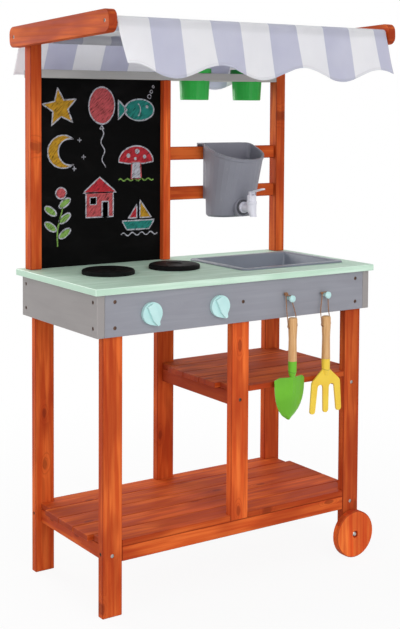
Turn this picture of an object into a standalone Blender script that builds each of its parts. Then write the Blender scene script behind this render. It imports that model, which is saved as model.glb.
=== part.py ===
"""Toy outdoor kitchen with a chalkboard, a water bucket, a sink tray and a cloth awning.

Metres, +Z up, +X to the kitchen's right, front towards -Y, floor at z = 0.
"""

import math

import bmesh
import bpy
from mathutils import Matrix, Vector

COLLECTION_NAME = "mud_kitchen"

# Fits and edges
GAP = 0.0003                    # between pieces that touch
EDGE = 0.0012                   # eased edge of sawn wood
HOLE_SIDES = 10

# Lower frame
FRAME_LENGTH = 0.690            # apron box along X
FRAME_DEPTH = 0.328             # apron box along Y
APRON_HEIGHT = 0.084
APRON_END_THICKNESS = 0.017
APRON_FACE_THICKNESS = 0.008
LEG_WIDTH = 0.044
LEG_DEPTH = 0.018
RIGHT_LEG_CLEARANCE = 0.022     # under the legs that the wheels carry
RAIL_THICKNESS = 0.018
RAIL_HEIGHT = 0.030
LOWER_SHELF_HEIGHT = 0.150      # top of the planks
MIDDLE_SHELF_HEIGHT = 0.420
PLANK_THICKNESS = 0.012
PLANK_COUNT = 5
PLANK_SPACING = 0.001           # open joint between planks

# Worktop and hot plates
WORKTOP_HEIGHT = 0.6555
WORKTOP_THICKNESS = 0.0135
WORKTOP_OVERHANG_END = 0.0075
WORKTOP_OVERHANG_FRONT = 0.0085
WORKTOP_OVERHANG_BACK = 0.0165
HOB_RADIUS = 0.0555
HOB_HEIGHT = 0.010
HOB_END_SHARE = 0.408           # shares of the free length between the end and the tray
HOB_MIDDLE_SHARE = 0.325
HOB_LEFT_Y = 0.009
HOB_RIGHT_Y = 0.010

# Sink tray
TRAY_LENGTH = 0.280
TRAY_WIDTH = 0.218
TRAY_END_GAP = 0.025            # from the rim to the end of the apron box
TRAY_Y = -0.001
TRAY_CORNER = 0.014
TRAY_RIM = 0.014                # flange that lies on the worktop
TRAY_RIM_HEIGHT = 0.0035
TRAY_WALL = 0.002
TRAY_DEPTH = 0.050
TRAY_TAPER = 0.012
TRAY_PLAY = 0.001               # round the basin in its cut-out

# Knobs
KNOB_LEFT_SHIFT = -0.0015       # from the middle of the hot plate
KNOB_RIGHT_SHIFT = -0.0025
KNOB_DROP = 0.044               # below the top of the apron
KNOB_RADIUS = 0.0225
KNOB_BASE = 0.008               # thickness of the round part and its beak
KNOB_BEAK = 0.028               # from the axis to the end of the beak
KNOB_BEAK_RADIUS = 0.0035
KNOB_BAR = 0.0065               # height of the bar above the round part
KNOB_BAR_HALF_WIDTH = 0.0075
KNOB_EDGE = 0.0015
KNOB_TURN = -25.0               # degrees, beak away from straight down
KNOB_SPINDLE_RADIUS = 0.0035
KNOB_SPINDLE_END = 0.002        # past the inner face of the panel

# Hook pegs
PEG_LEFT_INSET = 0.2273         # from the right end of the apron box
PEG_RIGHT_INSET = 0.1295
PEG_DROP = 0.043
PEG_HEAD_RADIUS = 0.0075
PEG_RADIUS = 0.0042
PEG_LENGTH = 0.019
PEG_TENON_RADIUS = 0.0035

# Wheels
WHEEL_RADIUS = 0.052
WHEEL_THICKNESS = 0.017
WHEEL_COUNTERBORE_RADIUS = 0.0078
WHEEL_COUNTERBORE_DEPTH = 0.005
WHEEL_BOLT_RADIUS = 0.003
WHEEL_BOLT_HEAD_RADIUS = 0.0055
WHEEL_BOLT_HEAD = 0.0035
WHEEL_BOLT_GRIP = 0.015         # length in the leg
WHEEL_HUB_RADIUS = 0.012
WHEEL_HUB = 0.002               # boss that holds the wheel off the leg

# Uprights, chalkboard, slats
POST_WIDTH = 0.026
POST_DEPTH = 0.0275
POST_HEIGHT = 0.5003            # above the worktop
POST_INSET_END = 0.0146         # from the worktop's end
POST_INSET_BACK = 0.015         # from the worktop's back edge
MIDDLE_POST_WIDTH = 0.020
MIDDLE_POST_DEPTH = 0.018
MIDDLE_POST_X = 0.0017
BOARD_THICKNESS = 0.005
BOARD_SETBACK = 0.013           # behind the fronts of the posts
GROOVE_DEPTH = 0.005
SLAT_HEIGHT = 0.030
SLAT_THICKNESS = 0.012
SLAT_SETBACK = 0.008
SLAT_LOWER_RISE = 0.1500        # centres above the worktop
SLAT_UPPER_RISE = 0.2415

# Top shelf and pots
TOP_SHELF_RISE = 0.408          # underside above the worktop
TOP_SHELF_THICKNESS = 0.0175
TOP_SHELF_DEPTH = 0.086
POT_END_GAP = 0.0619            # from the right post to the middle of the right pot
POT_SPACING = 0.150
POT_BACK = 0.038                # hole centre behind the shelf's front edge
POT_HOLE_RADIUS = 0.0375
POT_RIM_RADIUS = 0.0395
POT_RIM_HEIGHT = 0.0105
POT_SHOULDER_RADIUS = 0.0366
POT_BOTTOM_RADIUS = 0.032
POT_BODY = 0.062                # below the rim
POT_WALL = 0.0018

# Awning
ARM_LENGTH = 0.430
ARM_HEIGHT = 0.044
ARM_THICKNESS = 0.018
ARM_CORNER = 0.016
ARM_TILT = math.radians(2.2)    # the front end is higher
ROD_RADIUS = 0.009
ROD_END_FRONT = 0.017           # rod centre to the arm's end
ROD_END_BACK = 0.020
BACK_ROD_RISE = 0.4935          # above the worktop
BACK_ROD_BEHIND_POST = 0.0165
CLOTH_THICKNESS = 0.0016
CLOTH_GAP = 0.0005
CLOTH_END_PLAY = 0.004
FRONT_FLARE = math.radians(14.0)
FRONT_DROP = 0.0925             # rod centre to the mean hem
BACK_DROP = 0.091
BACK_HEM_FLARE = math.radians(10.0)
SCALLOP_PERIOD = 0.206
SCALLOP_CREST_X = 0.091
SCALLOP_HEIGHT = 0.0135         # half of crest to trough
FOLD_DEPTH = 0.005
CLOTH_COLUMNS = 28
HEM_BACK = 6 - 1e-9             # station of the back hem; the front hem is at 0

# Bucket
BUCKET_END_INSET = 0.186        # from the right end of the apron box to its middle
BUCKET_BOTTOM_RISE = 0.0955     # above the worktop
BUCKET_RIM_FRONT_RISE = 0.2290
BUCKET_WALL = 0.003
BUCKET_FLOOR = 0.004
BUCKET_STANDOFF = 0.017         # back wall in front of the slats
BUCKET_TOP_WIDTH = 0.134
BUCKET_TOP_DEPTH = 0.098
BUCKET_TOP_FRONT_CORNER = 0.063
BUCKET_TOP_BACK_CORNER = 0.012
BUCKET_BOTTOM_WIDTH = 0.118
BUCKET_BOTTOM_DEPTH = 0.052
BUCKET_BOTTOM_FRONT_CORNER = 0.040
BUCKET_BOTTOM_BACK_CORNER = 0.006
BUCKET_FOOT_ROUND = 0.005
BUCKET_LIP = 0.0016
HOOK_RISE = 0.008               # top of the plate above the slat
HOOK_INSET = 0.006              # of the plate from the rim's end
HOOK_LIP_LENGTH = 0.028
HOOK_THICKNESS = 0.003
HOOK_SKIRT_INSET = 0.0055       # from the bucket's side at its bottom

# Tap
TAP_RISE = 0.0235               # barrel axis above the bucket's underside
TAP_REACH = 0.031               # from the seat to the body's axis
TAP_BODY_RADIUS = 0.0120
TAP_COLLAR_RISE = 0.0165        # top of the body, where the cap begins
TAP_CAP_RADIUS = 0.0104
TAP_CAP_RISE = 0.0300
TAP_CAP_FLUTE = 0.93            # share of the radius at a flute
TAP_BARREL_RADIUS = 0.0100
TAP_SHANK_RADIUS = 0.007
TAP_FLANGE_RADIUS = 0.0130
TAP_FLANGE = 0.003
TAP_SPOUT_RADIUS = 0.0080
TAP_SPOUT_WALL = 0.0022
TAP_SPOUT_DROP = 0.0185
TAP_SPOUT_LEAN = 0.5            # forwards per length downwards
TAP_MOUTH = 0.0025
TAP_BOSS_RADIUS = 0.0215
TAP_BOSS_DEPTH = 0.024
TAP_BOSS_PROUD = 0.0015         # in front of the wall at the seal's top
TAP_BOSS_WEB = 0.006
TAP_SEAL = 0.0025
TAP_SEAL_RADIUS = 0.0175
TAP_NUT = 0.006
TAP_NUT_RADIUS = 0.013
TAP_NUT_PLAY = 0.002
TAP_POCKET_DEPTH = 0.030
TAP_SHANK_END = 0.002           # past the nut
LEVER_LENGTH = 0.047
LEVER_RISE = math.radians(12.0)
LEVER_WIDTH = 0.013
LEVER_THICKNESS = 0.003
LEVER_HUB_RADIUS = 0.004
LEVER_HUB_WIDTH = 0.007
LEVER_PIN_RADIUS = 0.0016

# Trowel and fork
TOOL_OFFSET = 0.012             # handle axis in front of the apron
TROWEL_HANG = 0.041             # top of the handle below the peg
FORK_HANG = 0.0455
TROWEL_SHIFT = 0.0038           # handle to the right of the peg
FORK_SHIFT = -0.0020
TOOL_HANDLE_LENGTH = 0.093
TOOL_HANDLE_RADIUS = 0.0098
TOOL_WAIST_RADIUS = 0.0086
TOOL_HOLE_DROP = 0.022
TOOL_HOLE_RADIUS = 0.002
TOOL_TENON_RADIUS = 0.006
TOOL_TENON = 0.014
SOCKET_RADIUS = 0.0095
SOCKET_LENGTH = 0.024
BLADE_WIDTH = 0.079
BLADE_LENGTH = 0.094
BLADE_THICKNESS = 0.0024
BLADE_HOLLOW = 0.011
BLADE_CURL = 0.010              # tip behind the shoulders
BLADE_SHOULDER_DROP = 0.010     # below the socket's end
FORK_NECK = 0.027
FORK_LENGTH = 0.096             # from the neck to the tine ends
FORK_SHOULDER_WIDTH = 0.078
FORK_WIDTH = 0.088
FORK_THICKNESS = 0.004
TINE_WIDTH = 0.0165
TINE_TIP_WIDTH = 0.0140
TINE_ROOT = 0.034               # below the neck
CORD_RADIUS = 0.0011

# Pockets for wood screws
SCREW_POCKET_RADIUS = 0.0042
SCREW_POCKET_DEPTH = 0.0022
SCREW_POCKET_SIDES = 8

# Derived lines of the lower frame
APRON_TOP = WORKTOP_HEIGHT - WORKTOP_THICKNESS - GAP
LEG_X = FRAME_LENGTH / 2 - APRON_END_THICKNESS - GAP - LEG_WIDTH / 2
LEG_Y = FRAME_DEPTH / 2 - APRON_FACE_THICKNESS - GAP - LEG_DEPTH / 2
LEG_INNER_X = LEG_X - LEG_WIDTH / 2
LEG_OUTER_X = LEG_X + LEG_WIDTH / 2
LEG_INNER_Y = LEG_Y - LEG_DEPTH / 2
LEG_OUTER_Y = LEG_Y + LEG_DEPTH / 2
LOWER_RAIL_TOP = LOWER_SHELF_HEIGHT - PLANK_THICKNESS - GAP
MIDDLE_RAIL_TOP = MIDDLE_SHELF_HEIGHT - PLANK_THICKNESS - GAP
RAIL_OUTER_X = LEG_X + RAIL_THICKNESS / 2
PEG_X = (FRAME_LENGTH / 2 - PEG_LEFT_INSET, FRAME_LENGTH / 2 - PEG_RIGHT_INSET)

# Derived places on the worktop
TRAY_X = FRAME_LENGTH / 2 - TRAY_END_GAP - TRAY_LENGTH / 2
HOB_ROOM = FRAME_LENGTH - TRAY_END_GAP - TRAY_LENGTH - 4 * HOB_RADIUS
HOB_LEFT_X = -FRAME_LENGTH / 2 + HOB_ROOM * HOB_END_SHARE + HOB_RADIUS
HOB_RIGHT_X = HOB_LEFT_X + HOB_ROOM * HOB_MIDDLE_SHARE + 2 * HOB_RADIUS
KNOB_X = (HOB_LEFT_X + KNOB_LEFT_SHIFT, HOB_RIGHT_X + KNOB_RIGHT_SHIFT)

# Derived lines of the upper frame
WORKTOP_BACK = FRAME_DEPTH / 2 + WORKTOP_OVERHANG_BACK
WORKTOP_END = FRAME_LENGTH / 2 + WORKTOP_OVERHANG_END
POST_X = WORKTOP_END - POST_INSET_END - POST_WIDTH / 2
POST_BACK_Y = WORKTOP_BACK - POST_INSET_BACK
POST_FRONT_Y = POST_BACK_Y - POST_DEPTH
POST_INNER_X = POST_X - POST_WIDTH / 2
POST_OUTER_X = POST_X + POST_WIDTH / 2
SHELF_BOTTOM = WORKTOP_HEIGHT + TOP_SHELF_RISE
SHELF_TOP = SHELF_BOTTOM + TOP_SHELF_THICKNESS
SHELF_BACK_Y = POST_FRONT_Y + TOP_SHELF_DEPTH
SLAT_Y = POST_FRONT_Y + SLAT_SETBACK + SLAT_THICKNESS / 2
POT_X = (POST_INNER_X - POT_END_GAP - POT_SPACING, POST_INNER_X - POT_END_GAP)
BUCKET_X = FRAME_LENGTH / 2 - BUCKET_END_INSET
BUCKET_BACK_Y = SLAT_Y - SLAT_THICKNESS / 2 - BUCKET_STANDOFF
BUCKET_RIM_BACK_RISE = SLAT_UPPER_RISE + SLAT_HEIGHT / 2 + HOOK_RISE

# Derived lines of the awning
ROD_SPAN = ARM_LENGTH - ROD_END_FRONT - ROD_END_BACK
BACK_ROD_Y = POST_BACK_Y + BACK_ROD_BEHIND_POST
BACK_ROD_Z = WORKTOP_HEIGHT + BACK_ROD_RISE
FRONT_ROD_Y = BACK_ROD_Y - ROD_SPAN * math.cos(ARM_TILT)
FRONT_ROD_Z = BACK_ROD_Z + ROD_SPAN * math.sin(ARM_TILT)
ARM_INNER_X = POST_OUTER_X + GAP
CLOTH_BEND = ROD_RADIUS + CLOTH_GAP + CLOTH_THICKNESS / 2

# Colours: base colour, roughness, metallic
FINISHES = {
    "stained_wood": ((0.46, 0.10, 0.03, 1.0), 0.55, 0.0),
    "mint_paint": ((0.40, 0.60, 0.48, 1.0), 0.50, 0.0),
    "grey_paint": ((0.30, 0.30, 0.34, 1.0), 0.55, 0.0),
    "shelf_paint": ((0.33, 0.33, 0.32, 1.0), 0.55, 0.0),
    "black_enamel": ((0.006, 0.006, 0.008, 1.0), 0.35, 0.0),
    "chalkboard_paint": ((0.008, 0.008, 0.008, 1.0), 0.85, 0.0),
    "grey_tray": ((0.23, 0.23, 0.26, 1.0), 0.35, 0.0),
    "grey_plastic": ((0.20, 0.20, 0.23, 1.0), 0.45, 0.0),
    "white_plastic": ((0.80, 0.80, 0.86, 1.0), 0.35, 0.0),
    "mint_plastic": ((0.52, 0.79, 0.76, 1.0), 0.35, 0.0),
    "green_plastic": ((0.03, 0.33, 0.07, 1.0), 0.35, 0.0),
    "lime_enamel": ((0.16, 0.52, 0.03, 1.0), 0.35, 0.0),
    "yellow_enamel": ((0.91, 0.64, 0.08, 1.0), 0.35, 0.0),
    "beech": ((0.72, 0.40, 0.17, 1.0), 0.50, 0.0),
    "cord": ((0.22, 0.14, 0.10, 1.0), 0.90, 0.0),
    "rubber": ((0.03, 0.03, 0.03, 1.0), 0.80, 0.0),
    "steel": ((0.55, 0.55, 0.56, 1.0), 0.35, 1.0),
    "striped_cloth": ((0.78, 0.78, 0.83, 1.0), 0.90, 0.0),
}


# Scene and object helpers

def clear_scene():
    for old in list(bpy.data.objects):
        bpy.data.objects.remove(old, do_unlink=True)
    for old in list(bpy.data.collections):
        bpy.data.collections.remove(old)


def new_collection(name):
    collection = bpy.data.collections.new(name)
    bpy.context.scene.collection.children.link(collection)
    return collection


clear_scene()
PARTS = new_collection(COLLECTION_NAME)
CUTTERS = new_collection("cutters")


def empty(name, location=(0, 0, 0), rotation=(0, 0, 0), parent=None):
    holder = bpy.data.objects.new(name, None)
    holder.location = location
    holder.rotation_euler = rotation
    holder.empty_display_size = 0.02
    holder.parent = parent
    PARTS.objects.link(holder)
    return holder


def material(slot):
    found = bpy.data.materials.get(slot)
    if found:
        return found
    colour, roughness, metallic = FINISHES[slot]
    made = bpy.data.materials.new(slot)
    made.use_nodes = True
    shader = made.node_tree.nodes["Principled BSDF"]
    shader.inputs["Base Color"].default_value = colour
    shader.inputs["Roughness"].default_value = roughness
    shader.inputs["Metallic"].default_value = metallic
    made.diffuse_color = colour
    return made


def place(name, mesh, slot, location=(0, 0, 0), rotation=(0, 0, 0), parent=None):
    mesh.materials.clear()
    mesh.materials.append(material(slot))
    piece = bpy.data.objects.new(name, mesh)
    piece.location = location
    piece.rotation_euler = rotation
    piece.parent = parent
    PARTS.objects.link(piece)
    return piece


def as_cutter(name, mesh, location=(0, 0, 0), rotation=(0, 0, 0), parent=None):
    tool = bpy.data.objects.new(name, mesh)
    tool.location = location
    tool.rotation_euler = rotation
    tool.parent = parent
    tool.hide_render = True
    tool.display_type = "WIRE"
    CUTTERS.objects.link(tool)
    return tool


def boolean(piece, tool, operation):
    step = piece.modifiers.new(operation.title(), "BOOLEAN")
    step.operation = operation
    step.solver = "EXACT"
    step.object = tool


def cut(piece, tool):
    boolean(piece, tool, "DIFFERENCE")


def fuse(piece, tool):
    boolean(piece, tool, "UNION")


def ease_edges(piece, width=EDGE, segments=1):
    bevel = piece.modifiers.new("Eased edges", "BEVEL")
    bevel.width = width
    bevel.segments = segments
    bevel.limit_method = "ANGLE"
    bevel.angle_limit = math.radians(40)
    return bevel


def smooth(mesh, angle=35):
    mesh.shade_smooth()
    mesh.set_sharp_from_angle(angle=math.radians(angle))


# Mesh helpers

def box_mesh(name, size):
    form = bmesh.new()
    bmesh.ops.create_cube(form, size=1.0)
    bmesh.ops.scale(form, vec=Vector(size), verts=form.verts)
    mesh = bpy.data.meshes.new(name)
    form.to_mesh(mesh)
    form.free()
    return mesh


def rods_mesh(name, rods, sides=HOLE_SIDES):
    """Round bars as (start, end, radius), each a separate body in one mesh."""
    form = bmesh.new()
    for start, end, radius in rods:
        start, end = Vector(start), Vector(end)
        axis = end - start
        turn = axis.to_track_quat("Z", "Y").to_matrix().to_4x4()
        bmesh.ops.create_cone(
            form, cap_ends=True, segments=sides, radius1=radius, radius2=radius,
            depth=axis.length, matrix=Matrix.Translation((start + end) / 2) @ turn)
    mesh = bpy.data.meshes.new(name)
    form.to_mesh(mesh)
    form.free()
    return mesh


def baked_mesh(name, source):
    """The evaluated shape of a helper object, which is then removed."""
    bpy.context.view_layer.update()
    seen = source.evaluated_get(bpy.context.evaluated_depsgraph_get())
    mesh = bpy.data.meshes.new_from_object(seen)
    mesh.name = name
    form = bmesh.new()
    form.from_mesh(mesh)
    bmesh.ops.remove_doubles(form, verts=form.verts, dist=0.00001)
    form.to_mesh(mesh)
    form.free()
    bpy.data.objects.remove(source, do_unlink=True)
    return mesh


def turned_mesh(name, profile, steps=32, bored=False):
    """A profile of (radius, height) turned about Z; it runs down its outer side."""
    count = len(profile)
    edges = [(i, i + 1) for i in range(count - 1)]
    if bored:
        edges.append((count - 1, 0))
    line = bpy.data.meshes.new(name + "_profile")
    line.from_pydata([(radius, 0, height) for radius, height in profile], edges, [])
    form = bpy.data.objects.new(name + "_form", line)
    bpy.context.scene.collection.objects.link(form)
    screw = form.modifiers.new("Turn", "SCREW")
    screw.steps = steps
    screw.render_steps = steps
    screw.use_merge_vertices = True
    screw.merge_threshold = 0.00001
    mesh = baked_mesh(name, form)
    smooth(mesh)
    return mesh


def filleted(corners, steps=4):
    """Points of a closed outline whose corners are (x, y, fillet radius)."""
    points = []
    count = len(corners)
    for i, (x, y, radius) in enumerate(corners):
        here = Vector((x, y))
        before = Vector(corners[i - 1][:2]) - here
        after = Vector(corners[(i + 1) % count][:2]) - here
        if radius <= 0:
            points.append((x, y))
            continue
        before.normalize()
        after.normalize()
        half = before.angle(after) / 2
        reach = radius / math.tan(half)
        centre = here + (before + after).normalized() * (radius / math.sin(half))
        first = here + before * reach - centre
        last = here + after * reach - centre
        sweep = first.angle_signed(last)
        for k in range(steps + 1):
            arm = first.copy()
            arm.rotate(Matrix.Rotation(-sweep * k / steps, 2))
            points.append(tuple(centre + arm))
    return points


def plate_mesh(name, outline, thickness):
    """A flat outline in XY, thickened to both sides of it."""
    curve = bpy.data.curves.new(name + "_outline", "CURVE")
    curve.dimensions = "2D"
    curve.fill_mode = "BOTH"
    curve.extrude = thickness / 2
    line = curve.splines.new("POLY")
    line.points.add(len(outline) - 1)
    for point, (x, y) in zip(line.points, outline):
        point.co = (x, y, 0, 1)
    line.use_cyclic_u = True
    form = bpy.data.objects.new(name + "_form", curve)
    bpy.context.scene.collection.objects.link(form)
    return baked_mesh(name, form)


def loft_mesh(name, rings):
    """A closed body through rings of equal point counts, capped at both ends."""
    form = bmesh.new()
    rows = [[form.verts.new(point) for point in ring] for ring in rings]
    count = len(rows[0])
    for low, high in zip(rows, rows[1:]):
        for i in range(count):
            j = (i + 1) % count
            form.faces.new((low[i], low[j], high[j], high[i]))
    form.faces.new(list(reversed(rows[0])))
    form.faces.new(rows[-1])
    mesh = bpy.data.meshes.new(name)
    form.to_mesh(mesh)
    form.free()
    smooth(mesh)
    return mesh


def tube_mesh(name, points, radii):
    curve = bpy.data.curves.new(name + "_line", "CURVE")
    curve.dimensions = "3D"
    curve.bevel_depth = 1.0
    curve.bevel_resolution = 1
    curve.use_fill_caps = True
    line = curve.splines.new("POLY")
    line.points.add(len(points) - 1)
    for point, co, radius in zip(line.points, points, radii):
        point.co = (*co, 1)
        point.radius = radius
    form = bpy.data.objects.new(name + "_form", curve)
    bpy.context.scene.collection.objects.link(form)
    mesh = baked_mesh(name, form)
    smooth(mesh, 60)
    return mesh


# Woodwork helpers

def board(name, low, high, slot, parent, edge=EDGE):
    """A sawn board between two corners, with eased edges."""
    low, high = Vector(low), Vector(high)
    piece = place(name, box_mesh(name, high - low), slot, (low + high) / 2, parent=parent)
    ease_edges(piece, edge)
    return piece


def drill(piece, name, rods, parent, sides=HOLE_SIDES):
    cut(piece, as_cutter(name, rods_mesh(name, rods, sides), parent=parent))


def sink_screws(piece, places, parent):
    """Cuts the pocket of a wood screw at each (point on the face, outward direction)."""
    pockets = []
    for point, outward in places:
        point, outward = Vector(point), Vector(outward)
        pockets.append((point - outward * SCREW_POCKET_DEPTH,
                        point + outward * SCREW_POCKET_DEPTH, SCREW_POCKET_RADIUS))
    drill(piece, piece.name + "_screw_pockets", pockets, parent, SCREW_POCKET_SIDES)


# Lower frame

def add_legs(root):
    top = APRON_TOP
    rows = (("front", -1), ("back", 1))
    columns = (("left", -LEG_X, 0.0), ("centre", 0.0, LOWER_RAIL_TOP + GAP),
               ("right", LEG_X, RIGHT_LEG_CLEARANCE))
    for row, side in rows:
        for column, x, foot in columns:
            leg = board(
                f"leg_{row}_{column}",
                (x - LEG_WIDTH / 2, side * LEG_Y - LEG_DEPTH / 2, foot),
                (x + LEG_WIDTH / 2, side * LEG_Y + LEG_DEPTH / 2, top), "stained_wood", root)
            face = side * LEG_OUTER_Y
            places = []
            if column != "centre":
                places.append(((x, face, LOWER_RAIL_TOP - RAIL_HEIGHT / 2), (0, side, 0)))
                out = 1 if x > 0 else -1
                places.append(((out * LEG_OUTER_X, side * LEG_Y, LOWER_RAIL_TOP - RAIL_HEIGHT / 3),
                               (out, 0, 0)))
            if column != "left":
                places.append(((x, face, MIDDLE_RAIL_TOP - RAIL_HEIGHT / 2), (0, side, 0)))
            sink_screws(leg, places, root)
            if column == "right":
                inside = face - side * (WHEEL_BOLT_GRIP + GAP)
                drill(leg, f"wheel_bolt_hole_{row}",
                      [((x, inside, WHEEL_RADIUS), (x, face + side * LEG_DEPTH, WHEEL_RADIUS),
                        WHEEL_BOLT_RADIUS + GAP)], root)


def add_rails(root):
    half_x = LEG_INNER_X - GAP
    half_y = LEG_INNER_Y - GAP
    low = LOWER_RAIL_TOP - RAIL_HEIGHT
    for row, side in (("front", -1), ("back", 1)):
        board(f"lower_rail_{row}",
              (-half_x, side * LEG_Y - RAIL_THICKNESS / 2, low),
              (half_x, side * LEG_Y + RAIL_THICKNESS / 2, LOWER_RAIL_TOP), "stained_wood", root)
    for column, x in (("left", -LEG_X), ("right", LEG_X)):
        board(f"lower_rail_{column}",
              (x - RAIL_THICKNESS / 2, -half_y, low),
              (x + RAIL_THICKNESS / 2, half_y, LOWER_RAIL_TOP), "stained_wood", root)
    low = MIDDLE_RAIL_TOP - RAIL_HEIGHT
    for column, x in (("left", 0.0), ("right", LEG_X)):
        board(f"middle_rail_{column}",
              (x - RAIL_THICKNESS / 2, -half_y, low),
              (x + RAIL_THICKNESS / 2, half_y, MIDDLE_RAIL_TOP), "stained_wood", root)


def plank_lines():
    """The front and back edge of each plank of a shelf, front to back."""
    pitch = (2 * LEG_OUTER_Y + PLANK_SPACING) / PLANK_COUNT
    return [(-LEG_OUTER_Y + i * pitch, -LEG_OUTER_Y + (i + 1) * pitch - PLANK_SPACING)
            for i in range(PLANK_COUNT)]


def edge_plank_outline(left_post, left_end, centre_notch):
    """Front plank of a shelf: it fills the space between the legs and reaches the rails."""
    front, back = plank_lines()[0]
    notch = -LEG_INNER_Y + GAP
    right_post = LEG_INNER_X - GAP
    right_end = RAIL_OUTER_X
    half = LEG_WIDTH / 2 + GAP
    outline = [(left_post, front)]
    if centre_notch:
        outline += [(-half, front), (-half, notch), (half, notch), (half, front)]
    outline += [(right_post, front), (right_post, notch), (right_end, notch), (right_end, back),
                (left_end, back), (left_end, notch), (left_post, notch)]
    return outline


def add_planks(root):
    lines = plank_lines()
    shelves = (
        ("lower", LOWER_SHELF_HEIGHT, -LEG_OUTER_X,
         edge_plank_outline(-LEG_INNER_X + GAP, -RAIL_OUTER_X, True)),
        ("middle", MIDDLE_SHELF_HEIGHT, -LEG_WIDTH / 2,
         edge_plank_outline(LEG_WIDTH / 2 + GAP, -RAIL_THICKNESS / 2, False)),
    )
    for shelf, top, left, outline in shelves:
        z = top - PLANK_THICKNESS / 2
        for row, side in (("front", 1), ("back", -1)):
            ring = [(x, side * y) for x, y in outline]
            if side < 0:
                ring.reverse()
            plank = place(f"{shelf}_plank_{row}",
                          plate_mesh(f"{shelf}_plank_{row}", ring, PLANK_THICKNESS),
                          "stained_wood", (0, 0, z), parent=root)
            ease_edges(plank)
        for number, (front, back) in enumerate(lines[1:-1], 2):
            low = (left, front, top - PLANK_THICKNESS)
            high = (LEG_OUTER_X, back, top)
            if shelf == "lower":
                board(f"lower_plank_{number}", low, high, "stained_wood", root)
            else:
                seat_plank(bpy.data.objects["middle_rail_left"], f"middle_plank_{number}",
                           low, high, root)


def seat_plank(rail, name, low, high, root):
    """Fixes a plank to the rail that carries it; the rail rises to meet its underside."""
    low, high = Vector(low), Vector(high)
    plank = as_cutter(name, box_mesh(name, high - low), (low + high) / 2, parent=root)
    ease_edges(plank)
    fuse(rail, plank)
    half = RAIL_THICKNESS / 2 - EDGE
    seat_low = Vector((-half, low.y + 2 * EDGE, MIDDLE_RAIL_TOP - 2 * EDGE))
    seat_high = Vector((half, high.y - 2 * EDGE, low.z + EDGE))
    fuse(rail, as_cutter(name + "_seat", box_mesh(name + "_seat", seat_high - seat_low),
                         (seat_low + seat_high) / 2, parent=root))


def add_apron(root):
    low = APRON_TOP - APRON_HEIGHT
    inner = FRAME_LENGTH / 2 - APRON_END_THICKNESS - GAP
    half_y = FRAME_DEPTH / 2
    high_z = APRON_TOP - APRON_HEIGHT * 0.18
    low_z = APRON_TOP - APRON_HEIGHT * 0.79
    knob_z = APRON_TOP - KNOB_DROP
    peg_z = APRON_TOP - PEG_DROP
    for row, side in (("front", -1), ("back", 1)):
        face = side * half_y
        faces = sorted((face, face - side * APRON_FACE_THICKNESS))
        panel = board(f"apron_{row}", (-inner, faces[0], low), (inner, faces[1], APRON_TOP),
                      "grey_paint", root)
        places = [((x, face, z), (0, side, 0)) for x in (-LEG_X, LEG_X) for z in (low_z, high_z)]
        places.append(((0, face, (low_z + high_z) / 2), (0, side, 0)))
        sink_screws(panel, places, root)
        if row == "front":
            depth = APRON_FACE_THICKNESS
            holes = [((x, face - depth, knob_z), (x, face + 2 * depth, knob_z),
                      KNOB_SPINDLE_RADIUS + GAP) for x in KNOB_X]
            holes += [((x, face - depth, peg_z), (x, face + 2 * depth, peg_z),
                       PEG_TENON_RADIUS + GAP) for x in PEG_X]
            drill(panel, "apron_front_holes", holes, root)
    for column, side in (("left", -1), ("right", 1)):
        face = side * FRAME_LENGTH / 2
        faces = sorted((face, face - side * APRON_END_THICKNESS))
        panel = board(f"apron_{column}", (faces[0], -half_y, low), (faces[1], half_y, APRON_TOP),
                      "grey_paint", root)
        sink_screws(panel, [((face, y, z), (side, 0, 0)) for y in (-LEG_Y, LEG_Y)
                            for z in (low_z, high_z)], root)


# Worktop and what is set into it

def tray_ring(inset, height):
    """The tray's rounded outline, drawn in by an inset, at a height."""
    half_x = TRAY_LENGTH / 2 - inset
    half_y = TRAY_WIDTH / 2 - inset
    radius = max(TRAY_CORNER - inset * 0.6, 0.004)
    corners = [(-half_x, -half_y, radius), (half_x, -half_y, radius),
               (half_x, half_y, radius), (-half_x, half_y, radius)]
    return [Vector((x, y, height)) for x, y in filleted(corners)]


def add_worktop(root):
    top = board("worktop", (-WORKTOP_END, -FRAME_DEPTH / 2 - WORKTOP_OVERHANG_FRONT,
                            WORKTOP_HEIGHT - WORKTOP_THICKNESS),
                (WORKTOP_END, WORKTOP_BACK, WORKTOP_HEIGHT), "mint_paint", root)
    depth = WORKTOP_THICKNESS * 2
    opening = TRAY_RIM - TRAY_PLAY
    cutter = loft_mesh("sink_cut", [tray_ring(opening, -depth), tray_ring(opening, depth)])
    cut(top, as_cutter("sink_cut", cutter, (TRAY_X, TRAY_Y, WORKTOP_HEIGHT), parent=root))


def add_tray(root):
    wall = TRAY_WALL
    rise = TRAY_RIM_HEIGHT
    round_bottom = 0.006
    basin = TRAY_RIM
    deep = rise - TRAY_DEPTH
    rings = [
        tray_ring(basin + TRAY_TAPER + round_bottom, deep),
        tray_ring(basin + TRAY_TAPER, deep + round_bottom),
        tray_ring(basin, 0.0),
        tray_ring(0.0, 0.0),
        tray_ring(0.0, rise * 0.5),
        tray_ring(rise * 0.5, rise),
        tray_ring(basin - wall * 0.5, rise),
        tray_ring(basin + wall, rise - wall),
        tray_ring(basin + wall + TRAY_TAPER, deep + wall + round_bottom),
        tray_ring(basin + wall + TRAY_TAPER + round_bottom, deep + wall),
    ]
    place("sink_tray", loft_mesh("sink_tray", rings), "grey_tray",
          (TRAY_X, TRAY_Y, WORKTOP_HEIGHT + GAP), parent=root)


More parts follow.
